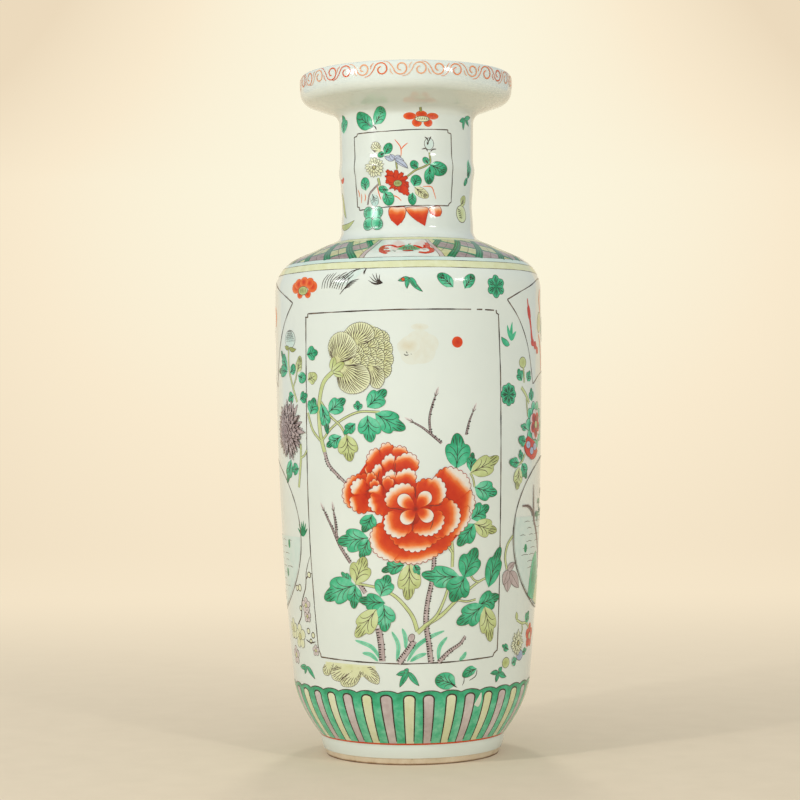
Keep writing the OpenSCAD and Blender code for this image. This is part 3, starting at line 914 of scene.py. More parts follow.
def heart_lobe(painter, offset):
    """One rounded lobe at the heart of the peony, white at its end and red at its foot."""
    middle = np.array(PEONY_HEART) + offset
    ahead = math.degrees(math.atan2(offset[1], offset[0]))
    rim = [middle + heading(ahead + swing) * LOBE_RADIUS for swing in range(-120, 121, 24)]
    painter.petal(PEONY_HEART, rim, white=3.2, deep=3.0, scallop=60)


def peony(painter):
    """Two red peonies, one behind the other."""
    for outline, petals, deep in zip(PEONY_GROUNDS, (BACK_PEONY, FRONT_PEONY), (2.6, 3.6)):
        painter.patch("red", smooth(outline, 1.4), (0.05, 0.2))
        for base, white, span, rim in petals:
            painter.petal(base, rim, white, deep, span=span)
    for offset in HEART_LOBES:
        heart_lobe(painter, offset)
    painter.spot("red", PEONY_HEART, 2.4, (0.0, 0.15), edge=None)
    for points in PETAL_PARTINGS:
        painter.line("brown", points, 0.36, 0.35)


def lotus(painter):
    """The big olive flower seen from its side, its petals covered with fine lines."""
    ground = [
        (-36, 276), (-26, 282), (-16, 279), (-10, 271), (-8, 262), (-9, 252), (-15, 245), (-26, 246),
        (-36, 252), (-36, 276),
    ]
    painter.patch("yellow", smooth(ground, 1.5), (0.4, 0.6))
    # Small overlapping petals as place and the way they point
    scales = [
        (-12, 273, 50), (-9.6, 266, 20), (-9, 259, 0), (-10.4, 252, -20), (-16, 275, 60), (-15, 268, 40),
        (-14.4, 261, 10), (-15, 254, -10), (-19, 269, 60), (-19.6, 262, 30), (-20, 256, 0),
        (-24, 265, 60), (-24.6, 259, 30), (-26, 268, 80), (-15.6, 248, -40), (-25, 253.6, 0),
        (-28.6, 264.6, 60), (-29.4, 259.6, 20), (-29.6, 255, 0),
    ]
    for u, v, ahead in scales:
        base = np.array([u, v]) - heading(ahead) * 4.2
        rim = [
            base + heading(ahead + swing) * 8.2 * math.cos(math.radians(swing)) ** 0.3
            for swing in range(-64, 65, 16)
        ]
        painter.lined_petal(base, rim, 1.7, 0.3, (0.15, 0.7), 0.1)
    for base, rim in [
        ((-20, 255), [(-21, 247), (-18.4, 241.6), (-14.4, 240.6), (-11, 245), (-11, 251), (-15, 255.4)]),
        ((-30, 268), [(-37, 276.6), (-32, 281), (-26, 282.6), (-20, 281), (-17, 277), (-17, 272.6),
                      (-21, 269.4)]),
        ((-43, 257), [(-47, 261), (-48.4, 268), (-46, 273.4), (-41, 276.6), (-36, 276.6), (-31, 273),
                      (-28, 268), (-29, 262), (-34, 258.6)]),
        ((-40, 255.6), [(-42.4, 248), (-40, 241), (-35, 238), (-29, 237.6), (-24, 239.4), (-20, 244),
                        (-20, 250), (-23, 255), (-29, 256.8)]),
    ]:
        painter.lined_petal(base, rim)
    painter.leaf((-46, 252), (-44, 261), 5, "lime", 0, 0.0, 0)
    painter.leaf((-45, 252), (-37, 257.5), 5, "lime", 0, 0.0, 0)
    painter.leaf((-45, 251), (-37.5, 249), 3.6, "lime", 0, 0.0, 0)


def sun_and_cloud(painter):
    """A red sun and, beside it, a worn stain in the glaze."""
    painter.patch("stain", painter.ring_of((10, 266), 13, 0.85, 20, 5, 0.12), (0.8, 1.0))
    painter.spot("stain", (4, 267), 7, (0.3, 1.0), edge=None, squash=0.7)
    painter.spot("stain", (11, 279), 5.4, (0.6, 1.0), edge=None, squash=0.4)
    for points in [
        [(1.2, 262.2), (2.4, 261.2), (4.2, 261.6)], [(2.6, 263.6), (3.4, 262.4)],
        [(5.2, 262.2), (6, 261.8)],
    ]:
        painter.line("brown", points, 0.6, 0.15)
    painter.spot("red", (34.5, 269.4), 3.4, (0.15, 0.4), edge="red", line=0.3)


def flower_panel(region, facing, mirror):
    """The large panel: peonies, a lined flower, leaves, twigs and grass."""
    painter = Painter(region, facing, PANEL_RADIUS, mirror)
    sun_and_cloud(painter)
    for points in GRASSES:
        painter.grass(points)
    for points, width in TWIGS:
        painter.twig(points, width)
    for points, width in BRANCHES:
        painter.branch(points, width)
    for points, width in STALKS:
        painter.stem(points, width)
    painter.spot("aubergine", (4, 84), 2.6, (0.4, 0.6), squash=0.75, turn=60)
    for leaf in LEAVES:
        painter.leaf(*leaf)
    for centre, radius, turn in ROUND_LEAVES:
        painter.round_leaf(centre, radius, turn)
    painter.leaf((-66.5, 247), (-58, 250), 9, "lime", 2, 0.0, 2)
    lotus(painter)
    peony(painter)


# Scattered flowers above and below the panel


def row_above(painter):
    """Flowers, bamboo and leaves between the panel and the shoulder."""
    middle = np.array([-71.5, 304.2])
    for across, up, radius in [
        (-8, 2.2, 4.2), (9, 2.2, 4.2), (-3.4, -2.4, 2.8), (4.6, -2.4, 2.8),
        (-5, 4.4, 3.9), (6.2, 4.6, 3.9), (0.6, 5.4, 3.9),
    ]:
        place = middle + (across, up)
        painter.spot("red", place, radius, (0.25, 0.62), edge="red", line=0.3, squash=0.85)
    painter.spot("lime", middle, 4.7, (0.2, 0.4), squash=0.58)
    for across in (-2.4, -0.8, 0.8, 2.4):
        strand = [middle + (across, -1.4), middle + (across + 0.4, 1.6)]
        painter.line("brown", strand, 0.35, 0.35)
    ground = [(-44, 307), (-38, 312), (-30, 316), (-24, 316.4), (-28, 311), (-35, 306), (-44, 307)]
    painter.patch("turquoise", smooth(ground, 1.4), (0.8, 1.0))
    # Groups of hatching strokes: first stroke's start and end, step to the next one's, and how many
    for start, stop, start_step, stop_step, count in [
        ((-54.4, 304.4), (-49.6, 313.8), (2.1, 0.1), (2.0, 0.2), 4),
        ((-48.0, 304.8), (-40.4, 313.2), (1.7, -0.3), (1.5, -0.4), 6),
        ((-42.0, 309.4), (-36.0, 314.4), (2.2, -1.0), (1.8, -0.6), 4),
        ((-40.4, 300.4), (-33.0, 305.2), (0.9, 1.0), (1.5, 1.1), 5),
        ((-38.4, 309.2), (-27.0, 316.4), (3.4, 1.8), (3.4, 0.2), 2),
        ((-24.2, 312.6), (-22.8, 316.2), (0.7, 0.1), (0.3, 0.0), 2),
    ]:
        for i in range(count):
            a = np.array(start) + np.array(start_step) * i
            b = np.array(stop) + np.array(stop_step) * i
            bow = np.array([a[1] - b[1], b[0] - a[0]]) * 0.12
            painter.line("brown", [a, (a + b) / 2 + bow, b], 0.5, 0.2)
    for start in [(-21, 308.6), (-20, 311), (-18.4, 312.8), (-16, 313.2), (-13.6, 312.2), (-19, 307)]:
        knee = ((start[0] - 12) / 2 - 0.8, (start[1] + 306.6) / 2 - 0.8)
        painter.line("brown", [start, knee, (-11.6, 306.8)], (0.35, 1.0), 0.15)
    painter.bamboo((5, 310), [(13.4, 301), (9.6, 303.6), (3.6, 303), (-2, 308)], 2.8)
    painter.spot("red", (1.2, 308.8), 1.1, (0.3, 0.5), edge="brown")
    painter.leaf((33, 303.8), (24.2, 313), 7.6, "green", 0, 0.1, 3)
    painter.leaf((40.6, 303), (46.4, 312.6), 7.2, "green", 0, -0.1, 3)
    painter.rosette((64.4, 305), 7.4, 6, 0.26)


def row_below(painter):
    """Flowers, bamboo and leaves between the panel and the lappets."""
    ground = [(-55, 67), (-36, 66.6), (-19, 66), (-18, 61), (-30, 58), (-46, 59), (-54, 62), (-55, 67)]
    painter.patch("yellow", straight(ground, 1.5), (0.6, 0.8))
    for base, rim in [
        ((-51, 67), [(-56, 65), (-58, 61.6), (-57, 58.6), (-53, 58), (-50, 61), (-48, 66)]),
        ((-34, 66), [(-46, 65), (-51, 60), (-50, 56.4), (-45, 54.8), (-39, 56), (-34, 60)]),
        ((-30, 65), [(-39, 57), (-44, 55), (-43, 52.6), (-38, 51.6), (-33, 53), (-29.6, 57), (-28, 62)]),
        ((-27, 65), [(-29, 62), (-26, 58.4), (-21, 55), (-17.2, 54.6), (-16.4, 57.6), (-18, 62),
                     (-22, 65.4)]),
    ]:
        painter.lined_petal(base, rim, 1.5, 0.5, (0.55, 0.7), 0.4)
    painter.bamboo((1.5, 62.5), [(-6, 60.6), (-4, 52.6), (8, 53.4), (-1, 64)], 3.4)
    painter.leaf((31, 53), (18.6, 59), 11, "green", 0, 0.1, 3)
    painter.line("brown", [(28, 54), (32, 51.6)], 0.8, 0.2)
    painter.leaf((45.4, 62.6), (35, 60.6), 6.4, "green", 0, 0.2, 2)
    painter.line("brown", [(45.6, 62), (45, 58.4), (40.4, 55.4)], 0.6, 0.2)
    painter.line("brown", [(36.6, 58.6), (36.6, 55), (35.6, 52.6)], 0.5, 0.3)
    painter.bamboo((63, 59), [(56, 58.6), (61, 52.6), (70, 56), (66, 62)], 3.2)


# Fan, lake and flowers at the sides


def fan_panel(painter, lines, narrow):
    """A fan-shaped panel, u counted from its own middle. Each half of it is narrower by narrow."""
    top = [(64, 297), (53, 301.5), (38, 306.5), (18, 312.3), (0, 314)]
    edge = [(64, 297), (52, 285), (41, 268), (33, 243.4)]
    foot = [(33, 243.4), (18, 250), (0, 252.4)]
    for side in (-1, 1):
        for points in (top, foot):
            share = 1 - narrow / points[0][0]
            lines.frame(smooth([(side * share * u, v) for u, v in points], 4))
        lines.frame(smooth([(side * (u - narrow), v) for u, v in edge], 4))
    for points, width, shade in [
        ([(-41, 298.6), (-40, 294), (-38.4, 288), (-36.4, 282), (-35.4, 277)], (2.0, 3.0), 0.2),
        ([(-40, 294), (-38.6, 289), (-37.4, 285)], 4.6, 0.15),
        ([(-35.6, 279), (-34.4, 273), (-33, 270.4), (-28, 268.4), (-22, 265)], 3.4, 0.2),
        ([(-15, 306), (-17, 298), (-14, 290)], 3.0, 0.6),
        ([(-20, 276), (-14, 268), (-12, 258), (-13, 252)], 3.0, 0.6),
        ([(18, 296), (23, 290), (20, 283)], 5.0, 0.62),
    ]:
        painter.line("red", points, width, shade)
    for centre, radius in [((-33.4, 270.4), 2.6), ((-28.4, 268.6), 2.8), ((-24, 265.4), 2.4)]:
        painter.spot("red", centre, radius, (0.15, 0.3), edge=None)
    emblem = np.array([0, 280])
    painter.spot("yellow", (-18, 284), 7, (0.35, 0.5), squash=0.7, turn=70)
    painter.spot("green", emblem, 11, (0.3, 0.55), squash=0.8, lobes=6, depth=0.2)
    painter.spot("aubergine", emblem, 6, (0.4, 0.6), lobes=5, depth=0.2)
    for ahead in range(0, 360, 30):
        painter.line("brown", [emblem + heading(ahead) * reach for reach in (6.4, 8.6)], 0.4, 0.3)


def lake_panel(painter, lines, shore):
    """An oval panel with water up to a shore, rocks and a bare tree, u counted from its middle."""
    lake = (0, 146)
    bottom = 98
    ripple_step = 4.3
    lines.frame(lines.ring_of(lake, 57, 0.88))
    water = [(u, v) for u, v in painter.ring_of(lake, 55.6, 0.875)[1:] if v < shore]
    painter.patch("turquoise", straight([*water, water[0]], 2.5), (0.75, 0.85))
    for row in range(int((shore - bottom) / ripple_step)):
        v = shore - 4 - ripple_step * row
        reach = 54 * math.sqrt(max(0.0, 1 - ((v - lake[1]) / 48.5) ** 2))
        for i in range(-4, 5):
            u = i * 13 + 6 * math.sin(row * 2.4) + chance.uniform(-2, 2)
            length = chance.uniform(6, 13)
            if abs(u) + length < reach:
                ripple = [(u - length / 2, v), (u, v + 0.5), (u + length / 2, v)]
                painter.line("brown", ripple, 0.4, 0.4)
    for centre in [(-41, 137), (38, 141), (31, 122)]:
        painter.spot("green", centre, 2.2, (0.1, 0.3), edge=None, squash=1.3)
    rocks = [
        ("green", [(-34, 106), (-32, 118), (-27, 130), (-20, 134), (-14, 124), (-8, 112), (-14, 105),
                   (-26, 103), (-34, 106)]),
        ("lime", [(-22, 102), (-16, 112), (-6, 117), (4, 113), (10, 105), (4, 99), (-8, 98),
                  (-22, 102)]),
    ]
    for enamel, outline in rocks:
        edge = smooth(outline, 1.4)
        level = painter.patch(enamel, edge, (0.3, 0.6))
        painter.line("brown", edge, 0.3, 0.6, level + 1, taper=1)
        middle = edge.mean(axis=0)
        for share in (0.35, 0.6):
            crease = middle + (edge[: len(edge) // 2] - middle) * share
            painter.line("brown", crease, 0.4, 0.5, level + 1)
    for points, width in [
        ([(-8, 122), (-15, 138), (-24, 150), (-29, 156)], (4.4, 3.0)),
        ([(-27, 152), (-31, 160), (-38, 164), (-47, 164.6)], (3.4, 1.4)),
        ([(-27, 152), (-29, 164), (-30, 178)], (2.8, 1.0)),
    ]:
        level = painter.line("aubergine", points, width, 0.2, taper=0.7)
        painter.line("brown", points, 0.55 * np.asarray(width), 0.3, level + 1)
    for u, v in [(-14, 168), (-6, 175), (-8, 162), (-20, 160)]:
        painter.bamboo((u, v), [(u - 6, v - 3), (u + 6, v - 3), (u, v - 7)], 2.6)


def left_ground(painter):
    """Ground to the left of a panel, u counted from the panel's middle."""
    painter.stem([(-90, 268), (-90, 256), (-85, 243), (-80, 233)], 1.8)
    painter.stem([(-79, 254), (-81, 248), (-84, 243)], 1.2)
    painter.stem([(-72, 249), (-78, 250)], 1.0)
    bud = -88
    painter.spot("turquoise", (bud, 273.6), 7, (0.5, 0.9), squash=0.85)
    for row, v in enumerate((278.4, 277.2, 276, 274.8, 273.6, 272.2)):
        for i in range(-3, 4):
            u = bud + 1.7 * i + 0.8 * (row % 2)
            if abs(u - bud) < 6.4 - 0.8 * (5 - row):
                scale = [(u - 0.7, v), (u, v + 0.7), (u + 0.7, v)]
                painter.line("brown", scale, 0.85 - 0.1 * row, 0.3)
    painter.blade("lime", (-89, 268.4), (-96, 269.6), 3.0, 0.1, 0.0, "brown")
    painter.blade("lime", (-89, 268.4), (-80, 267), 3.0, -0.1, 0.0, "brown")
    painter.leaf((-92, 254), (-104, 266), 8)
    painter.leaf((-92, 253), (-109, 255), 8)
    painter.leaf((-88, 252), (-81, 256), 6.6, lobes=0)
    painter.leaf((-78, 250), (-70, 247), 7.4, lobes=0)
    painter.leaf((-79, 252), (-74, 262), 8, "lime", 2)
    painter.round_leaf((-88, 236), 4.2, 200)
    painter.round_leaf((-72.4, 236), 4.2, 20)
    painter.stem([(-77, 206), (-77.4, 196), (-79, 187), (-81, 178)], 2.2)
    painter.stem([(-77, 197), (-73, 199), (-70.6, 202)], 1.4)
    painter.leaf((-90, 196), (-97, 180), 10)
    painter.leaf((-80, 190), (-90, 190), 8)
    rings = ((1.0, 34), (0.84, 30), (0.66, 24), (0.48, 17), (0.3, 10))
    painter.mum((-92, 215), 20, "aubergine", rings, 0.42)
    for tip in [(-85, 152), (-83, 154.6), (-80, 156.4), (-77.4, 157), (-74.6, 155.4), (-73, 152)]:
        painter.blade("green", (-78.6, 146.4), tip, 1.9, 0.0, 0.2)
    bough = [(-72, 134), (-77, 124), (-79, 114), (-85, 104), (-88, 94), (-95, 88)]
    painter.line("brown", bough, (0.6, 1.3), 0.5)
    painter.line("brown", [(-78, 119), (-74, 122), (-71, 123)], (0.9, 0.6), 0.5)
    for centre, radius in [
        ((-87, 113), 2.2), ((-91, 112.6), 1.8), ((-87.6, 99.6), 1.6), ((-79.4, 85.4), 1.8),
        ((-74, 83), 1.8), ((-74, 122), 1.8), ((-77, 79), 1.5),
    ]:
        painter.spot("yellow", centre, radius, (0.8, 1.0), line=0.6)
    painter.bloom((-80, 102), 5, enamel="aubergine", shade=(0.75, 1.0))
    painter.bloom((-79, 95), 4, enamel="aubergine", shade=(0.8, 1.0))
    painter.bloom((-92, 81), 8, enamel="yellow", shade=(0.6, 1.0))
    painter.bloom((-104, 85), 7, enamel="yellow", shade=(0.6, 0.9))
    painter.line("brown", [(-83, 79.6), (-77, 78), (-72, 79)], 0.8, 0.5)
    painter.bloom((-72, 73.4), 3.6, enamel="aubergine", shade=(0.7, 1.0))
    painter.bloom((-103, 68), 6, enamel="aubergine", shade=(0.7, 0.9))
    painter.bamboo((-86, 62), [(-97, 61), (-90, 56.6), (-76, 54.6)], 3.6)


def right_ground(painter):
    """Ground to the right of a panel, u counted from the panel's middle."""
    for tip in [(74, 281), (79, 283), (83, 277), (76.6, 276)]:
        painter.blade("green", (78, 270.6), tip, 2.8, 0.05, 0.5)
    painter.blade("green", (76, 268), (68.4, 273), 4, 0.1, 0.5, "brown")
    painter.rosette((75, 236.4), 7.4, 8, 0.16)
    painter.round_leaf((87, 249), 4.4, 120)
    painter.round_leaf((98.4, 248.4), 4.0, 60)
    painter.round_leaf((102.6, 236.4), 4.4, 100)
    painter.spot("lime", (90.4, 257), 4.2, (0.25, 0.5), squash=0.85)
    painter.stem([(88.6, 241), (94, 236.6), (99, 231)], 2.4)
    painter.stem([(91, 254), (92, 248), (92, 244)], 1.4)
    painter.stem([(95, 234), (96, 228), (97, 222)], 1.4)
    lotus_middle = np.array([110, 217])
    for ahead in range(0, 360, 36):
        place = lotus_middle + heading(ahead) * 11
        painter.spot("green", place, 4.6, (0.4, 0.85), squash=0.85, turn=ahead)
    for ahead in range(18, 378, 45):
        place = lotus_middle + heading(ahead) * 7.0
        painter.spot("aubergine", place, 3.6, (1.1, 1.2), line=0.3, turn=ahead)
    painter.bloom(lotus_middle, 8.2, 5, "red", "lime", 130, (-0.1, 0.2))
    rim = [(96, 210), (92, 204), (94, 199), (100, 194.6), (108, 195), (116, 199)]
    painter.petal((108, 206), rim, white=0.2, deep=6, scallop=20, edge=0.3)
    for centre in [(97.6, 204), (103, 200), (108.6, 202.6)]:
        painter.spot("lilac", centre, 3, (0.4, 0.7), squash=0.8)
    painter.leaf((96, 214), (88, 217), 5)
    painter.leaf((94, 206), (85, 207), 8, lobes=2)
    painter.stem([(93, 198), (89, 193), (84, 191)], 1.4)
    painter.leaf((89, 194), (87, 201), 5)
    painter.leaf((86, 192.4), (75.6, 193), 7.4, lobes=2)
    painter.leaf((90, 192), (97, 182.6), 9.6)
    painter.leaf((86, 190), (84, 175.4), 9.6, "lime")
    painter.stem([(81, 146), (76, 141), (73.6, 133), (75.6, 124.6)], 1.7)
    for base, tip, width in [
        ((77, 124), (77, 110), 9), ((79, 123), (90, 112), 8), ((76, 124), (84, 128.6), 5),
        ((77, 124), (72.6, 115), 7),
    ]:
        level = painter.blade("aubergine", base, tip, width, 0.0, 0.55, "brown")
        painter.line("brown", [base, tip], 0.35, 0.6, level + 1)
    painter.stem([(90, 91), (98, 88.4), (105, 88), (112, 84)], 1.8)
    painter.stem([(98, 88), (99, 84), (97, 80)], 1.4)
    painter.blade("lime", (90, 91), (89, 96.4), 3.4, 0.0, 0.4, "brown")
    painter.round_leaf((106.4, 92), 4.4, 60)
    painter.leaf((101, 69), (110, 69.6), 5)
    painter.spot("lilac", (97.4, 67.6), 4.8, (0.3, 0.6), squash=0.7)
    painter.mum((92.6, 76), 8.6, "yellow", ((1.0, 22), (0.6, 12)), 0.9)
    painter.bloom((114, 79), 8)
    painter.leaf((82, 72.6), (74, 75.4), 5)
    painter.round_leaf((89.4, 64.4), 3.2, 20)
    painter.spot("lime", (79.4, 64.4), 4, (0.2, 0.5), squash=0.85)
    painter.bamboo((72, 58.4), [(66, 58.6), (70, 52.6), (81, 55.4)], 3)


# Neck

NECK_FRAME = [
    [(-33, 408), (-10, 408), (10, 408.8), (31, 409.4)], [(31, 409.4), (31, 407.6), (33.6, 407)],
    [(33.6, 407), (34, 395), (34.6, 378), (34.4, 362.6)], [(34.4, 362.6), (32.6, 361.6), (31.6, 360)],
    [(31.6, 360), (10, 359.6), (-10, 359), (-33, 358)], [(-33, 358), (-33.4, 360), (-35.4, 360.4)],
    [(-35.4, 360.4), (-35.6, 378), (-36, 395), (-36.4, 406)], [(-36.4, 406), (-34, 406.4), (-33, 408)],
]


def neck_flowers(painter):
    """Mixed flowers and leaves inside the panel of the neck."""
    for points in [
        [(-5.4, 402.4), (-1.6, 397), (-1.4, 391.4)], [(3, 400), (0, 397.6), (-1.4, 395.6)],
        [(12.6, 372), (19, 371.4), (20.6, 368), (22, 364)], [(-34, 371.6), (-33, 369), (-33, 366.6)],
        [(-31, 368.6), (-31, 366), (-31.6, 362.6)], [(-28, 368.6), (-27.6, 366), (-28.4, 363.6)],
        [(-18, 373), (-17, 368), (-15.6, 364)], [(-8, 366.6), (-4, 365), (-1.6, 362.6)],
    ]:
        painter.line("red", points, 0.7, 0.55)
    painter.stem([(2, 378), (8, 382.4), (14, 385), (17, 387), (17.2, 394)], 1.1, "lime", 0.2)
    painter.stem([(-26, 361), (-24, 368), (-20, 371.6), (-17, 374)], 1.0, "aubergine", 0.4)
    painter.stem([(-4, 383), (-4.6, 388)], 1.0, "lime", 0.2)
    painter.stem([(-17, 378), (-16, 373)], 1.6, "lime", 0.3)
    for base, tip, width, enamel in [
        ((-12, 393), (-8, 400), 6, "green"), ((-12, 394), (-17, 392), 4, "green"),
        ((-27, 370.4), (-28, 379), 7.4, "green"), ((-10, 370), (-17, 370), 5, "green"),
        ((-13, 369), (-8, 360.4), 8, "green"), ((16, 386), (14, 391), 4.4, "green"),
        ((17, 386), (29, 381), 9.4, "green"), ((17, 385), (17.6, 373.4), 7, "green"),
        ((6.6, 372), (9.6, 379), 7.4, "green"), ((6, 368), (4.6, 360), 5.6, "green"),
        ((7, 371.6), (15.6, 364), 6, "yellow"), ((-22, 368), (-19, 360), 6, "turquoise"),
        ((9.4, 383.6), (4.6, 387.6), 5.4, "green"),
    ]:
        painter.leaf(base, tip, width, enamel, 0, None, 2)
    for tip in [(-12.4, 391.8), (-8.6, 393), (-1.6, 391.6), (0.4, 388.4), (3, 383.4)]:
        level = painter.blade("lilac", (-5.4, 389.4), tip, 3.4, 0.05, 0.7, "brown")
        painter.line("brown", [(-5.4, 389.4), tip], 0.3, 0.4, level + 1)
    painter.mum((-19, 385), 7.0, "yellow", ((1.0, 17), (0.62, 10)), 0.9)
    rim = [(-19, 394.6), (-22, 398), (-20, 401.6), (-16.6, 401), (-14.6, 398)]
    painter.lined_petal((-15, 395), rim, 1.7, 0.3, (0.6, 0.95))
    bloom = np.array([-4, 374.4])
    for ahead, reach in [
        (130, 11.4), (95, 9), (62, 8), (30, 8.2), (-5, 8), (-22, 8.6), (-48, 11.4), (-78, 6.4),
        (-112, 5.4), (-145, 6.6), (172, 8.6), (150, 9.4),
    ]:
        rim = [
            bloom + heading(ahead + swing) * reach * (1 - abs(swing) / 60)
            for swing in (-30, -20, -13, -6, 0, 7, 14, 20, 30)
        ]
        painter.petal(bloom, rim, white=0.0, deep=5, scallop=2.6, edge=0.3)
    painter.spot("lime", bloom + (0.2, -0.4), 2.7, (0.0, 0.2), squash=0.75)
    for across in (-1.4, -0.4, 0.6, 1.5):
        painter.line("brown", [bloom + (across, -1.4), bloom + (across + 0.3, 0.8)], 0.35, 0.2)
    painter.spot("turquoise", (17, 399.6), 3.2, (0.75, 0.9), squash=1.2)
    for points in [
        [(12, 396), (15, 396.4), (16, 394.6)], [(22, 396.4), (19.4, 396), (18, 394.6)],
        [(14, 404), (15.6, 403), (16.4, 401)], [(18.4, 404.4), (17.6, 403), (16.6, 401)],
        [(15.6, 401), (16, 399), (16.6, 401.4)],
    ]:
        painter.line("brown", points, 0.8, 0.4)


def neck_sprigs(painter):
    """Sprigs above and beside the panel of the neck."""
    painter.leaf((-20.4, 411.2), (-33.6, 419.6), 10.6, "green", 0, -0.08, 3)
    painter.leaf((-19, 412.6), (-11.6, 423), 8.4, "green", 0, 0.08, 3)
    painter.line("brown", [(-17.6, 409.4), (-19, 411.6), (-20.4, 412.4)], 0.8, 0.2)
    for centre, radius, squash in [
        ((4.4, 417.4), 4.0, 0.55), ((19.6, 417.6), 4.0, 0.5), ((12, 418.6), 3.6, 0.6),
        ((9.0, 413.2), 3.1, 0.85), ((16.4, 413.2), 2.9, 0.85),
    ]:
        painter.spot("red", centre, radius, (0.25, 0.5), edge="red", line=0.3, squash=squash)
    painter.spot("yellow", (12.6, 415.6), 4.8, (0.6, 0.8), squash=0.38)
    for u in (9.4, 10.8, 12.2, 13.6, 15, 16.2):
        painter.line("brown", [(u, 414.8), (u + 0.5, 416.6)], 0.45, 0.3)
    painter.stem([(11.6, 420.4), (11, 423)], 1.4, "lime", 0.0)
    painter.leaf((-50, 410), (-50, 422), 11)
    painter.blade("lime", (-58, 372), (-49, 354), 4, -0.1, 0.3, "brown")
    painter.blade("lime", (-60, 350), (-38, 352), 4, -0.12, 0.3, "brown")
    painter.line("red", [(-58, 380), (-54, 379), (-51, 381)], 3.0, 0.3)
    painter.bamboo((47.6, 418.6), [(41.6, 416), (46, 410.6), (54, 414), (56, 420)], 3)
    painter.leaf((53, 392), (51, 380), 6, "green", 0)
    painter.leaf((52, 380), (47, 374.4), 3.6, "green", 0, 0, 1)
    painter.spot("lime", (44.4, 355.4), 5.6, (0.6, 0.95), line=0.45)
    painter.leaf((44, 361), (50, 367), 6, "lime", 0, 0, 2)
    for i in range(5):
        stroke = [(40.2 + 0.3 * i, 358.6 - 1.4 * i), (43.8 + 0.3 * i, 357.6 - 1.2 * i)]
        painter.line("brown", stroke, 0.55, 0.15)


def neck_fringe(painter):
    """A green quatrefoil and hanging petals below the panel of the neck."""
    for ahead in (45, 135, 225, 315):
        centre = np.array([-21.6, 352]) + heading(ahead) * (4.6, 5.0)
        painter.spot("green", centre, 4.4, (0.5, 0.85), squash=0.9, turn=ahead)
        for swing in range(-80, 81, 20):
            strand = heading(ahead + swing)
            painter.line("brown", [centre + strand * 1.4, centre + strand * 4.0], 0.4, 0.15)
    # Petals red at their tips
    for tip, span, rim in [
        ((-4.3, 346.4), (0.2, 0.8), [(-9, 350.6), (-10.4, 355), (-9.8, 358.2), (-4, 358.6), (0.8, 358.4),
                                     (1, 353), (-1, 349)]),
        ((22, 352.4), (0.1, 0.8), [(16.8, 354.6), (16.4, 358), (20, 359), (25, 359), (26.4, 356),
                                   (25.6, 353)]),
        ((13.8, 346.2), (0.25, 0.85), [(8, 349.6), (3, 354.4), (1.2, 357.8), (6, 358.6), (12, 358.8),
                                       (16, 358.4), (15, 352)]),
    ]:
        painter.petal(tip, rim, white=1.4, deep=3.6, scallop=60, span=span)


def neck_panel(facing, mirror):
    """Small panel of the neck with what surrounds it."""
    lines = Painter("neck_frames", facing, NECK_RADIUS, mirror)
    for corners in NECK_FRAME:
        lines.frame(corners, 0.62)
    painter = Painter("neck", facing, NECK_RADIUS, mirror)
    neck_flowers(painter)
    neck_sprigs(painter)
    neck_fringe(painter)


# Shoulder, where u is an angle and v the length along the slope

# Height from which the length is counted, and where along it each band begins and ends
SHOULDER_START = 305.0
BORDER = (11.9, 17.3)
PALE_LINE = (17.3, 20.8)
TRELLIS = (20.8, 50.3)
NECK_BORDER = (50.3, 55.0)
# Half the width of a white field in the trellis
RESERVE_HALF = 17.0
# Lean of the two families of bars, in degrees for each millimetre up the slope, and their spacing
BAR_LEAN = 0.54
CROSS_LEAN = -1.35
BAR_PITCH = 14.2
CROSS_PITCH = 21.0
FIRST_BAR = 22.5
FIRST_CROSS = 39.0


def band(painter, enamel, low, high, shade):
    """A plain ring of enamel between two lengths along the slope."""
    u = np.linspace(-180, 180, 181)
    v = np.linspace(low, high, max(3, math.ceil((high - low) / PATCH_STEP) + 1))
    painter.lay(enamel, np.stack(np.meshgrid(u, v), axis=-1), shade)


def clipped(outline, axis, limit, keep):
    """The part of a convex outline on one side of a limit."""
    kept = []
    for a, b in zip(outline, outline[1:] + outline[:1]):
        inside_a = keep * (a[axis] - limit) >= 0
        inside_b = keep * (b[axis] - limit) >= 0
        if inside_a:
            kept.append(a)
        if inside_a != inside_b:
            share = (limit - a[axis]) / (b[axis] - a[axis])
            kept.append((a[0] + (b[0] - a[0]) * share, a[1] + (b[1] - a[1]) * share))
    return kept


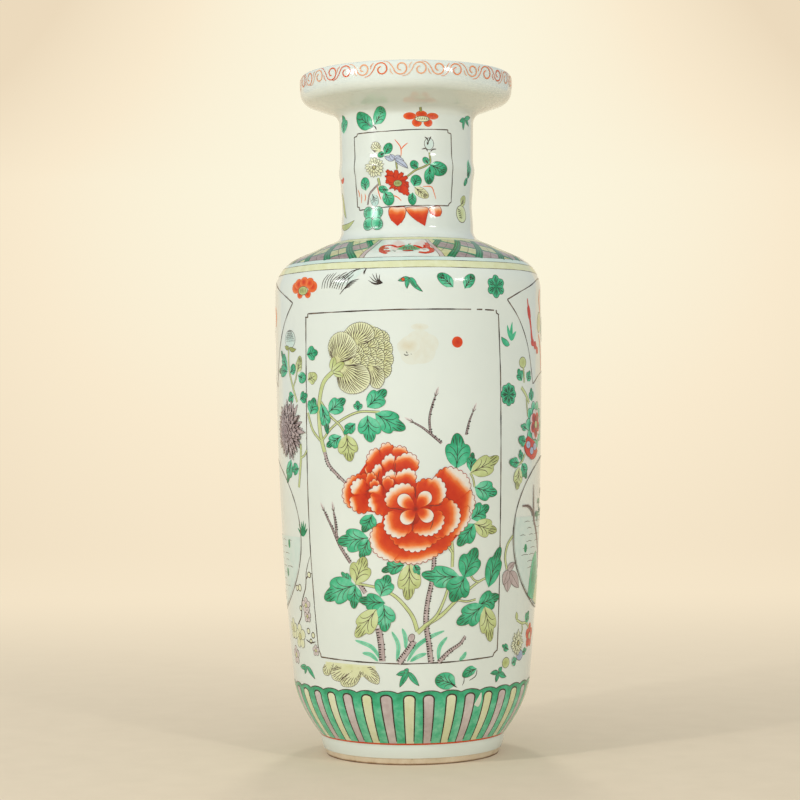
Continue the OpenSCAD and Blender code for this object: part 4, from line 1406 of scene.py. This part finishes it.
def trellis(painter, side):
    """Leaning bars with coloured cells between them, away from a reserve to one side."""
    low, high = TRELLIS
    first, last = RESERVE_HALF, 90 - RESERVE_HALF

    def crossing(bar, cross):
        """Where a leaning bar meets a cross bar."""
        up = (cross - bar) / (BAR_LEAN - CROSS_LEAN)
        return bar + BAR_LEAN * up, low + up

    bars = [FIRST_BAR + BAR_PITCH * i for i in range(-3, 6)]
    crosses = [FIRST_CROSS + CROSS_PITCH * i for i in range(-2, 8)]
    for i, (bar, next_bar) in enumerate(zip(bars, bars[1:])):
        for j, (cross, next_cross) in enumerate(zip(crosses, crosses[1:])):
            cell = [
                crossing(bar, cross), crossing(next_bar, cross), crossing(next_bar, next_cross),
                crossing(bar, next_cross),
            ]
            for axis, limit, keep in [(0, first, 1), (0, last, -1), (1, low, 1), (1, high, -1)]:
                cell = clipped(cell, axis, limit, keep) if len(cell) > 2 else cell
            if len(cell) < 3:
                continue
            outline = straight([(side * u, v) for u, v in [*cell, cell[0]]], 1.2)
            enamel, shade = [("aubergine", 0.2), ("yellow", 0.2)][(i + j) % 2]
            shade += chance.uniform(-0.1, 0.1)
            painter.patch(enamel, outline, (shade, shade + 0.15), level=1)

    def within(points):
        """The stretch of a bar inside the trellis."""
        return [(side * u, v) for u, v in points if first <= u <= last]

    climb = np.linspace(0, high - low, 20)
    for cross in crosses:
        points = within([(cross + CROSS_LEAN * up, low + up) for up in climb])
        if len(points) > 2:
            painter.line("green", points, 2.4, 0.2, 2, taper=0.9)
            edge = [(u - side * 0.7, v) for u, v in points]
            painter.line("brown", edge, 0.5, 0.4, 3, taper=0.8)
    for bar in bars:
        points = within([(bar + BAR_LEAN * up, low + up) for up in climb])
        if len(points) > 2:
            painter.line("green", points, 4.0, 0.2, 4, taper=0.95)
            for shift in (-1.6, 0.0, 1.6):
                stripe = [(u + shift, v) for u, v in points]
                painter.line("green", stripe, 0.9, -0.1, 5, taper=0.8)
        middle = bar + BAR_PITCH / 2
        points = within([(middle + BAR_LEAN * up, low + up) for up in climb])
        if len(points) > 2:
            painter.line("brown", points, 0.32, 0.55, 2, taper=0.8)


def reserve(painter):
    """White field in the trellis with a knot of red ribbon round a green emblem."""
    low, high = TRELLIS
    for side in (1, -1):
        foot = RESERVE_HALF + 1.5
        head = RESERVE_HALF - 1.5
        post = [(side * foot, low + 0.4), (side * head, high - 0.4)]
        painter.line("aubergine", post, 2.0, 0.7, taper=1)
        for shift in (-1.1, 1.1):
            points = [(side * (foot + shift), low), (side * (head + shift), high)]
            painter.line("brown", points, 0.3, 0.6, taper=0.9)
    for points, width in [
        ([(-7, 24.6), (-9.4, 27), (-10.6, 31), (-11, 35), (-10.4, 38), (-7, 39.4), (-4, 37)], 2.6),
        ([(-4.4, 37), (-2.6, 35.4), (0, 37.6), (1.6, 38.4)], 2.2),
        ([(-10.4, 27), (-8, 29), (-6, 27.4)], 2.8),
        ([(-10.8, 33), (-8.4, 34), (-7.4, 32.4)], 2.4),
        ([(6, 38.4), (8, 37), (9.4, 34.4), (10.4, 32.4)], 2.4),
        ([(8, 26), (11, 25), (14.2, 27), (14.8, 31), (13.6, 35), (14.2, 39), (13.8, 43.6)], 2.6),
        ([(11.4, 33), (12.6, 36), (12.4, 39.4)], 2.4),
    ]:
        painter.line("red", points, width, 0.2, taper=0.7)
    emblem = [(-3, 31), (0, 36.6), (3.4, 40), (6.6, 36.6), (9, 31), (3, 29.4), (-3, 31)]
    painter.patch("green", smooth(emblem, 1), (0.3, 0.5))
    for u in (0.4, 2, 3.6, 5.2, 6.8):
        painter.line("brown", [(u, 30.6), (u + (3.4 - u) * 0.3, 37)], 0.4, 0.35)
    painter.spot("red", (3, 28.6), 2.6, (0.1, 0.3), edge="brown", squash=0.45)
    painter.line("green", [(3.4, 39), (3.6, 42)], 1.0, 0.4)
    painter.line("red", [(3.6, 40), (4.6, 42)], 0.8, 0.3)
    for points in [[(-5, 30), (-3, 29)], [(-4, 28), (-3, 27)], [(10, 31), (12, 30)]]:
        painter.line("brown", points, 0.5, 0.4)


def shoulder():
    """Borders, trellis and reserves round the whole shoulder."""
    lines = Painter("shoulder", 0, math.degrees(1), False, SHOULDER_START)
    band(lines, "yellow", *BORDER, 0.72)
    band(lines, "turquoise", *PALE_LINE, 0.75)
    band(lines, "yellow", *NECK_BORDER, 0.55)
    for v in (BORDER[0], BORDER[1], PALE_LINE[1], NECK_BORDER[0], NECK_BORDER[1]):
        lines.frame([(u, v + 0.15 * math.sin(u * 0.13)) for u in range(-180, 181, 3)], 0.36)
    for i in range(4):
        painter = Painter("shoulder", 90 * i, math.degrees(1), False, SHOULDER_START)
        if i % 2 == 0:
            trellis(painter, 1)
            trellis(painter, -1)
        reserve(painter)


# Lappet band and foot line

# Number of tongues, their spacing, and how far to the right the band is turned
LAPPETS = 36
LAPPET_PITCH = 2 * math.pi * LOWER_RADIUS / LAPPETS
LAPPET_TURN = 1.5
# Heights of the foot of the band and of the top of the tongues, and half a tongue's width
LAPPET_FOOT = 14.3
TONGUE_TOP = 47.4
TONGUE_HALF = 3.7
# Height of the notches of the scalloped edge, and its rise between them
SCALLOP_LOW = 48.6
SCALLOP_RISE = 1.5


def lappets():
    """Green band with a scalloped edge, its tongues, and the red line below it."""
    painter = Painter("lappet", 0, LOWER_RADIUS)
    half_round = math.pi * LOWER_RADIUS
    u = np.linspace(-half_round, half_round, LAPPETS * 10 + 1)
    inside_one = ((u - LAPPET_TURN) / LAPPET_PITCH + 0.5) % 1 - 0.5
    top = SCALLOP_LOW + SCALLOP_RISE * (1 - (2 * np.abs(inside_one)) ** 2.2)
    share = np.linspace(0, 1, 20)
    v = LAPPET_FOOT + (top[None, :] - LAPPET_FOOT) * share[:, None]
    depth = 0.66 + 0.06 * np.sin(u * 0.37)[None, :] - 0.3 * np.clip(share / 0.3 - 2.3, 0, 1)[:, None]
    painter.lay("green", np.stack([np.broadcast_to(u, v.shape), v], axis=-1), depth, level=1)
    painter.line("brown", np.stack([u, top], axis=1), 0.6, 0.3, 2, taper=1)
    for i in range(LAPPETS):
        enamel = "aubergine" if i % 2 else "yellow"
        middle = (i - LAPPETS // 2) * LAPPET_PITCH + LAPPET_TURN + chance.uniform(-0.4, 0.4)
        lean = chance.uniform(-0.8, 1.2)
        # Finer steps in the rounded end, and narrower towards the foot
        round_start = TONGUE_TOP - 4
        v = np.concatenate([
            np.linspace(LAPPET_FOOT, round_start, 18), np.linspace(round_start, TONGUE_TOP, 11)[1:],
        ])
        arch = np.sqrt(np.clip(1 - np.clip((v - TONGUE_TOP) / 3.2 + 1, 0, 1) ** 2.6, 0, 1))
        half = TONGUE_HALF * chance.uniform(0.9, 1.04) * arch * (0.86 + 0.14 * (v - 14) / 33)
        centre = middle - lean * (v - LAPPET_FOOT) / (TONGUE_TOP - LAPPET_FOOT)
        left = np.stack([centre - half, v], axis=1)
        right = np.stack([centre + half, v], axis=1)
        across = np.linspace(0, 1, 6)
        grid = left[:, None] + (right - left)[:, None] * across[None, :, None]
        shade = 0.78 + 0.12 * np.sin(v * 0.16 + i)[:, None] + chance.uniform(-0.08, 0.08)
        painter.lay(enamel, grid, np.broadcast_to(shade, grid.shape[:2]), level=2)
        outline = np.concatenate([left, right[::-1]])
        painter.line("brown", outline[::2], 0.95, 0.12, 3, taper=0.8)
    # A worn place in the green, to the right of the front
    chip = [(45.4, 39.4), (48, 44.4), (49.6, 47), (50.4, 41.4), (49, 37.8), (45.4, 39.4)]
    painter.patch("stain", smooth(chip, 1), 1.0, 2)
    red = np.stack([u, np.full_like(u, LAPPET_FOOT - 0.2)], axis=1)
    painter.line("red", red, 1.1, 0.35, 4, taper=1)


# Scroll round the rim

# Height from which v is counted along the rim, and the radius there
RIM_START = 439.0
RIM_RADIUS = 70.5
# Number of curls, and the middle of the scroll
SCROLLS = 36
SCROLL_MIDDLE = 5.2


def rim_scroll():
    """A red scroll whose curls turn upwards and downwards by turns."""
    painter = Painter("rim", 0, RIM_RADIUS, False, RIM_START)
    pitch = 2 * math.pi * RIM_RADIUS / SCROLLS
    for i in range(SCROLLS):
        side = 1 if i % 2 else -1
        across = (i - SCROLLS / 2) * pitch + chance.uniform(-0.5, 0.5)
        centre = np.array([across, SCROLL_MIDDLE - 0.4 * side])
        flip = np.array([1, side]) * chance.uniform(0.88, 1.04)
        # A stem from the last curl's arch, then this one's arch and the hook inside it
        path = [(-11.6, -4.6), (-8.6, -3.8), (-6.2, -1.5)]
        for t in np.linspace(0, 1, 24):
            path.append(heading(172 - 440 * t) * (4.9 - 3.3 * t))
        curl = [centre + flip * point for point in path]
        spur = [centre + flip * point for point in [(-7.2, 0.4), (-6.8, 2.6), (-5.2, 4.4)]]
        shade = chance.uniform(0.4, 0.74)
        painter.line("red", curl, (0.5, 1.0), shade, taper=0.5, step=0.7)
        painter.line("red", spur, 0.5, shade + 0.06, step=0.7)


# Painting: the bands, the front and the back, then the sides

lappets()
shoulder()
rim_scroll()
for facing, mirror, region in [(0, False, "front_panel"), (180, True, "back_panel")]:
    body_lines = Painter("body_frames", facing, PANEL_RADIUS, mirror)
    for corners in PANEL_FRAME:
        body_lines.frame(corners)
    flower_panel(region, facing, mirror)
    row_above(Painter("rows", facing, SIDE_RADIUS, mirror))
    row_below(Painter("rows", facing, LOWER_RADIUS, mirror))
    neck_panel(facing, mirror)
    ground = Painter("sides", facing, SIDE_RADIUS, mirror)
    left_ground(ground)
    right_ground(ground)
# The right side, then the left one, which has a narrower fan and a lower shore
for facing, fan_radius, narrow, shore in [
    (90, SIDE_RADIUS, 0.0, 158), (-90, LEFT_FAN_RADIUS, 9.2, 147),
]:
    side_lines = Painter("side_frames", facing, SIDE_RADIUS)
    fan_panel(Painter("sides", facing, fan_radius), side_lines, narrow)
    lake_panel(Painter("sides", facing, SIDE_RADIUS), side_lines, shore)

# Pieces

enamel_materials = {name: enamel_material(name) for name in ENAMELS}
painted = {}
for (region, enamel), film in films.items():
    painted[region, enamel] = mesh_piece(
        f"{region}_{enamel}",
        np.concatenate(film.corners).tolist(),
        np.concatenate(film.faces).tolist(),
        enamel_materials[enamel],
        np.concatenate(film.shades).astype(np.float32),
    )
STANDS_FOR = {
    ("lappet", "red"): ["foot_line"],
    ("lappet", "green"): ["lappet_ground"],
    ("lappet", "yellow"): ["lappet_yellow"],
    ("lappet", "aubergine"): ["lappet_aubergine"],
    ("shoulder", "yellow"): ["shoulder_border", "neck_border", "trellis_yellow"],
    ("shoulder", "turquoise"): ["shoulder_pale_line"],
    ("shoulder", "green"): ["trellis_bars"],
    ("shoulder", "aubergine"): ["trellis_aubergine"],
    ("body_frames", "brown"): ["body_panel_frames"],
    ("neck_frames", "brown"): ["neck_panel_frames"],
}
for key, stood_for in STANDS_FOR.items():
    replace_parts(painted[key], *stood_for)

glaze = glaze_material()
floor_height = inside[0][1]
path = np.concatenate([
    smooth(outside, OUTSIDE_STEP),
    smooth(inside[::-1], INSIDE_STEP)[1:],
    [[0.0, floor_height]],
])
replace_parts(lathe("glaze_skin", path, glaze), "glaze_coat")

clay = clay_material()
slip = slip_material()
CLAY_NODES = ["foot_ring", "base_disc", "lower_body", "upper_body", "shoulder", "neck", "mouth"]
SLIP_NODES = ["foot_slip", "base_slip", "body_slip", "shoulder_slip", "neck_slip", "mouth_slip"]
for names, finish in [(CLAY_NODES, clay), (SLIP_NODES, slip), (["base_glaze"], glaze)]:
    for name in names:
        nodes[name].data.materials.clear()
        nodes[name].data.materials.append(finish)

# Camera of the photograph

CAMERA_DISTANCE = 1.386
CAMERA_HEIGHT = 0.222
CAMERA_AZIMUTH = 2.7
CAMERA_LENS = 93.4
CAMERA_SENSOR = 36.0
CAMERA_PAN = 0.25
CAMERA_PITCH = 0.5
CAMERA_ROLL = -0.6

# Floor and backdrop in one sweep of paper, square to the camera

FLOOR_FRONT = -1.6
FLOOR_BACK = 2.0
SWEEP_RADIUS = 2.2
SWEEP_DEG = 75.0
STAGE_HALF = 2.6
# Where the paper begins to be seen by its own glow, and where by nothing else
GLOW_START = -0.3
GLOW_FULL = 1.3
# Middle of the glow, and how fast it fades to the side, to the upper corners and below
GLOW_HEIGHT = 0.81
FADE_SIDE = 0.49
FADE_CORNER = 1.52
FADE_BELOW = 0.82


def stage_material():
    """Cream paper in front that takes the shadow, and a glow far behind."""
    shader = Shader("paper")
    stops = [(0.3, colour(220, 204, 179)), (0.7, colour(224, 208, 183))]
    shader.set(
        Base_Color=shader.ramp(shader.noise(scale=35, detail=4), stops),
        Roughness=0.9,
        Specular_IOR_Level=0.1,
    )
    spot = shader.node("ShaderNodeSeparateXYZ", Vector=shader.place())
    side = shader.math("POWER", shader.math("ABSOLUTE", spot.outputs["X"]), 2.0)
    above = shader.math("SUBTRACT", spot.outputs["Z"], GLOW_HEIGHT)
    upward = shader.math("MAXIMUM", above, 0.0)
    downward = shader.math("MAXIMUM", shader.math("MULTIPLY", above, -1.0), 0.0)
    below = shader.math("POWER", downward, 2.0)
    corner = shader.math("MULTIPLY", side, upward)
    fade = shader.math("MULTIPLY", side, FADE_SIDE)
    fade = shader.math("ADD", fade, shader.math("MULTIPLY", corner, FADE_CORNER))
    fade = shader.math("ADD", fade, shader.math("MULTIPLY", below, FADE_BELOW))
    stops = [(0.0, colour(252, 247, 223)), (0.42, colour(249, 234, 206)), (1.0, colour(236, 218, 189))]
    light = shader.node("ShaderNodeEmission", Color=shader.ramp(fade, stops), Strength=1.0)
    seen = shader.node("ShaderNodeLightPath")
    shown = shader.math("MAXIMUM", seen.outputs["Is Camera Ray"], seen.outputs["Is Glossy Ray"])
    shown = shader.math("MAXIMUM", shown, seen.outputs["Is Transmission Ray"])
    depth = shader.node(
        "ShaderNodeMapRange", interpolation_type="SMOOTHSTEP",
        Value=spot.outputs["Y"], From_Min=GLOW_START, From_Max=GLOW_FULL,
    )
    share = shader.math("MULTIPLY", shown, depth.outputs["Result"])
    mix = shader.node("ShaderNodeMixShader", Fac=share)
    shader.plug(shader.surface.outputs["BSDF"], mix.inputs[1])
    shader.plug(light.outputs["Emission"], mix.inputs[2])
    shader.plug(mix.outputs["Shader"], shader.tree.nodes["Material Output"].inputs["Surface"])
    return shader.material


def make_stage():
    """The sheet of paper, flat under the vase and curved up behind it."""
    bend = np.radians(np.linspace(0, SWEEP_DEG, 40))
    section = [(FLOOR_FRONT, 0.0)]
    for a in bend:
        section.append((FLOOR_BACK + SWEEP_RADIUS * math.sin(a), SWEEP_RADIUS * (1 - math.cos(a))))
    corners = [(side * STAGE_HALF, y, z) for y, z in section for side in (-1, 1)]
    faces = [(2 * i, 2 * i + 1, 2 * i + 3, 2 * i + 2) for i in range(len(section) - 1)]
    mesh = bpy.data.meshes.new("paper_sweep")
    mesh.from_pydata(corners, [], faces)
    for face in mesh.polygons:
        face.use_smooth = True
    mesh.materials.append(stage_material())
    paper = bpy.data.objects.new("paper_sweep", mesh)
    paper.rotation_euler.z = math.radians(CAMERA_AZIMUTH)
    bpy.context.scene.collection.objects.link(paper)


# Light: six lamps and a pale surrounding

# Where the lamps aim
CENTRE = Vector((0, 0, 0.24))
WORLD_STRENGTH = 0.57


def soft_box(name, azimuth, elevation, distance, size, power, mirrored=True):
    """An area lamp aimed at the vase, mirrored in the glaze or not.

    azimuth runs to the right from the camera, and size is in metres."""
    a = math.radians(azimuth + CAMERA_AZIMUTH)
    e = math.radians(elevation)
    back = Vector((math.sin(a) * math.cos(e), -math.cos(a) * math.cos(e), math.sin(e)))
    lamp = bpy.data.lights.new(name, "AREA")
    lamp.shape = "RECTANGLE"
    lamp.size, lamp.size_y = size
    lamp.energy = power
    made = bpy.data.objects.new(name, lamp)
    made.visible_glossy = mirrored
    made.location = CENTRE + back * distance
    made.rotation_mode = "QUATERNION"
    made.rotation_quaternion = (-back).to_track_quat("-Z", "Y")
    bpy.context.scene.collection.objects.link(made)


def make_world():
    """An even pale surrounding."""
    world = bpy.data.worlds.new("studio")
    world.use_nodes = True
    background = world.node_tree.nodes["Background"]
    background.inputs["Color"].default_value = colour(249, 254, 255)
    background.inputs["Strength"].default_value = WORLD_STRENGTH
    bpy.context.scene.world = world


def make_camera():
    """The camera of the photograph."""
    a = math.radians(CAMERA_AZIMUTH)
    data = bpy.data.cameras.new("camera")
    data.lens = CAMERA_LENS
    data.sensor_width = CAMERA_SENSOR
    camera = bpy.data.objects.new("camera", data)
    turn = (
        Matrix.Rotation(a + math.radians(CAMERA_PAN), 4, "Z")
        @ Matrix.Rotation(math.radians(90 + CAMERA_PITCH), 4, "X")
        @ Matrix.Rotation(math.radians(CAMERA_ROLL), 4, "Z")
    )
    place = Vector((math.sin(a), -math.cos(a), 0)) * CAMERA_DISTANCE + Vector((0, 0, CAMERA_HEIGHT))
    camera.matrix_world = Matrix.Translation(place) @ turn
    bpy.context.scene.collection.objects.link(camera)
    bpy.context.scene.camera = camera


make_stage()
make_world()
soft_box("left_low", -58, 18, 1.5, (0.3, 0.18), 2.8)
soft_box("right_low", 45, 18, 1.5, (0.22, 0.12), 1.5)
soft_box("front_fill", -8, -4, 1.9, (0.9, 0.12), 5.2, False)
soft_box("left_high", -48, 30, 1.5, (0.1, 0.1), 5.4, False)
soft_box("right_high", 33, 30, 1.5, (0.1, 0.1), 3.8, False)
soft_box("back_box", 180, 60, 1.4, (0.14, 0.14), 3.6, False)
make_camera()
bpy.context.scene.view_settings.view_transform = "Standard"
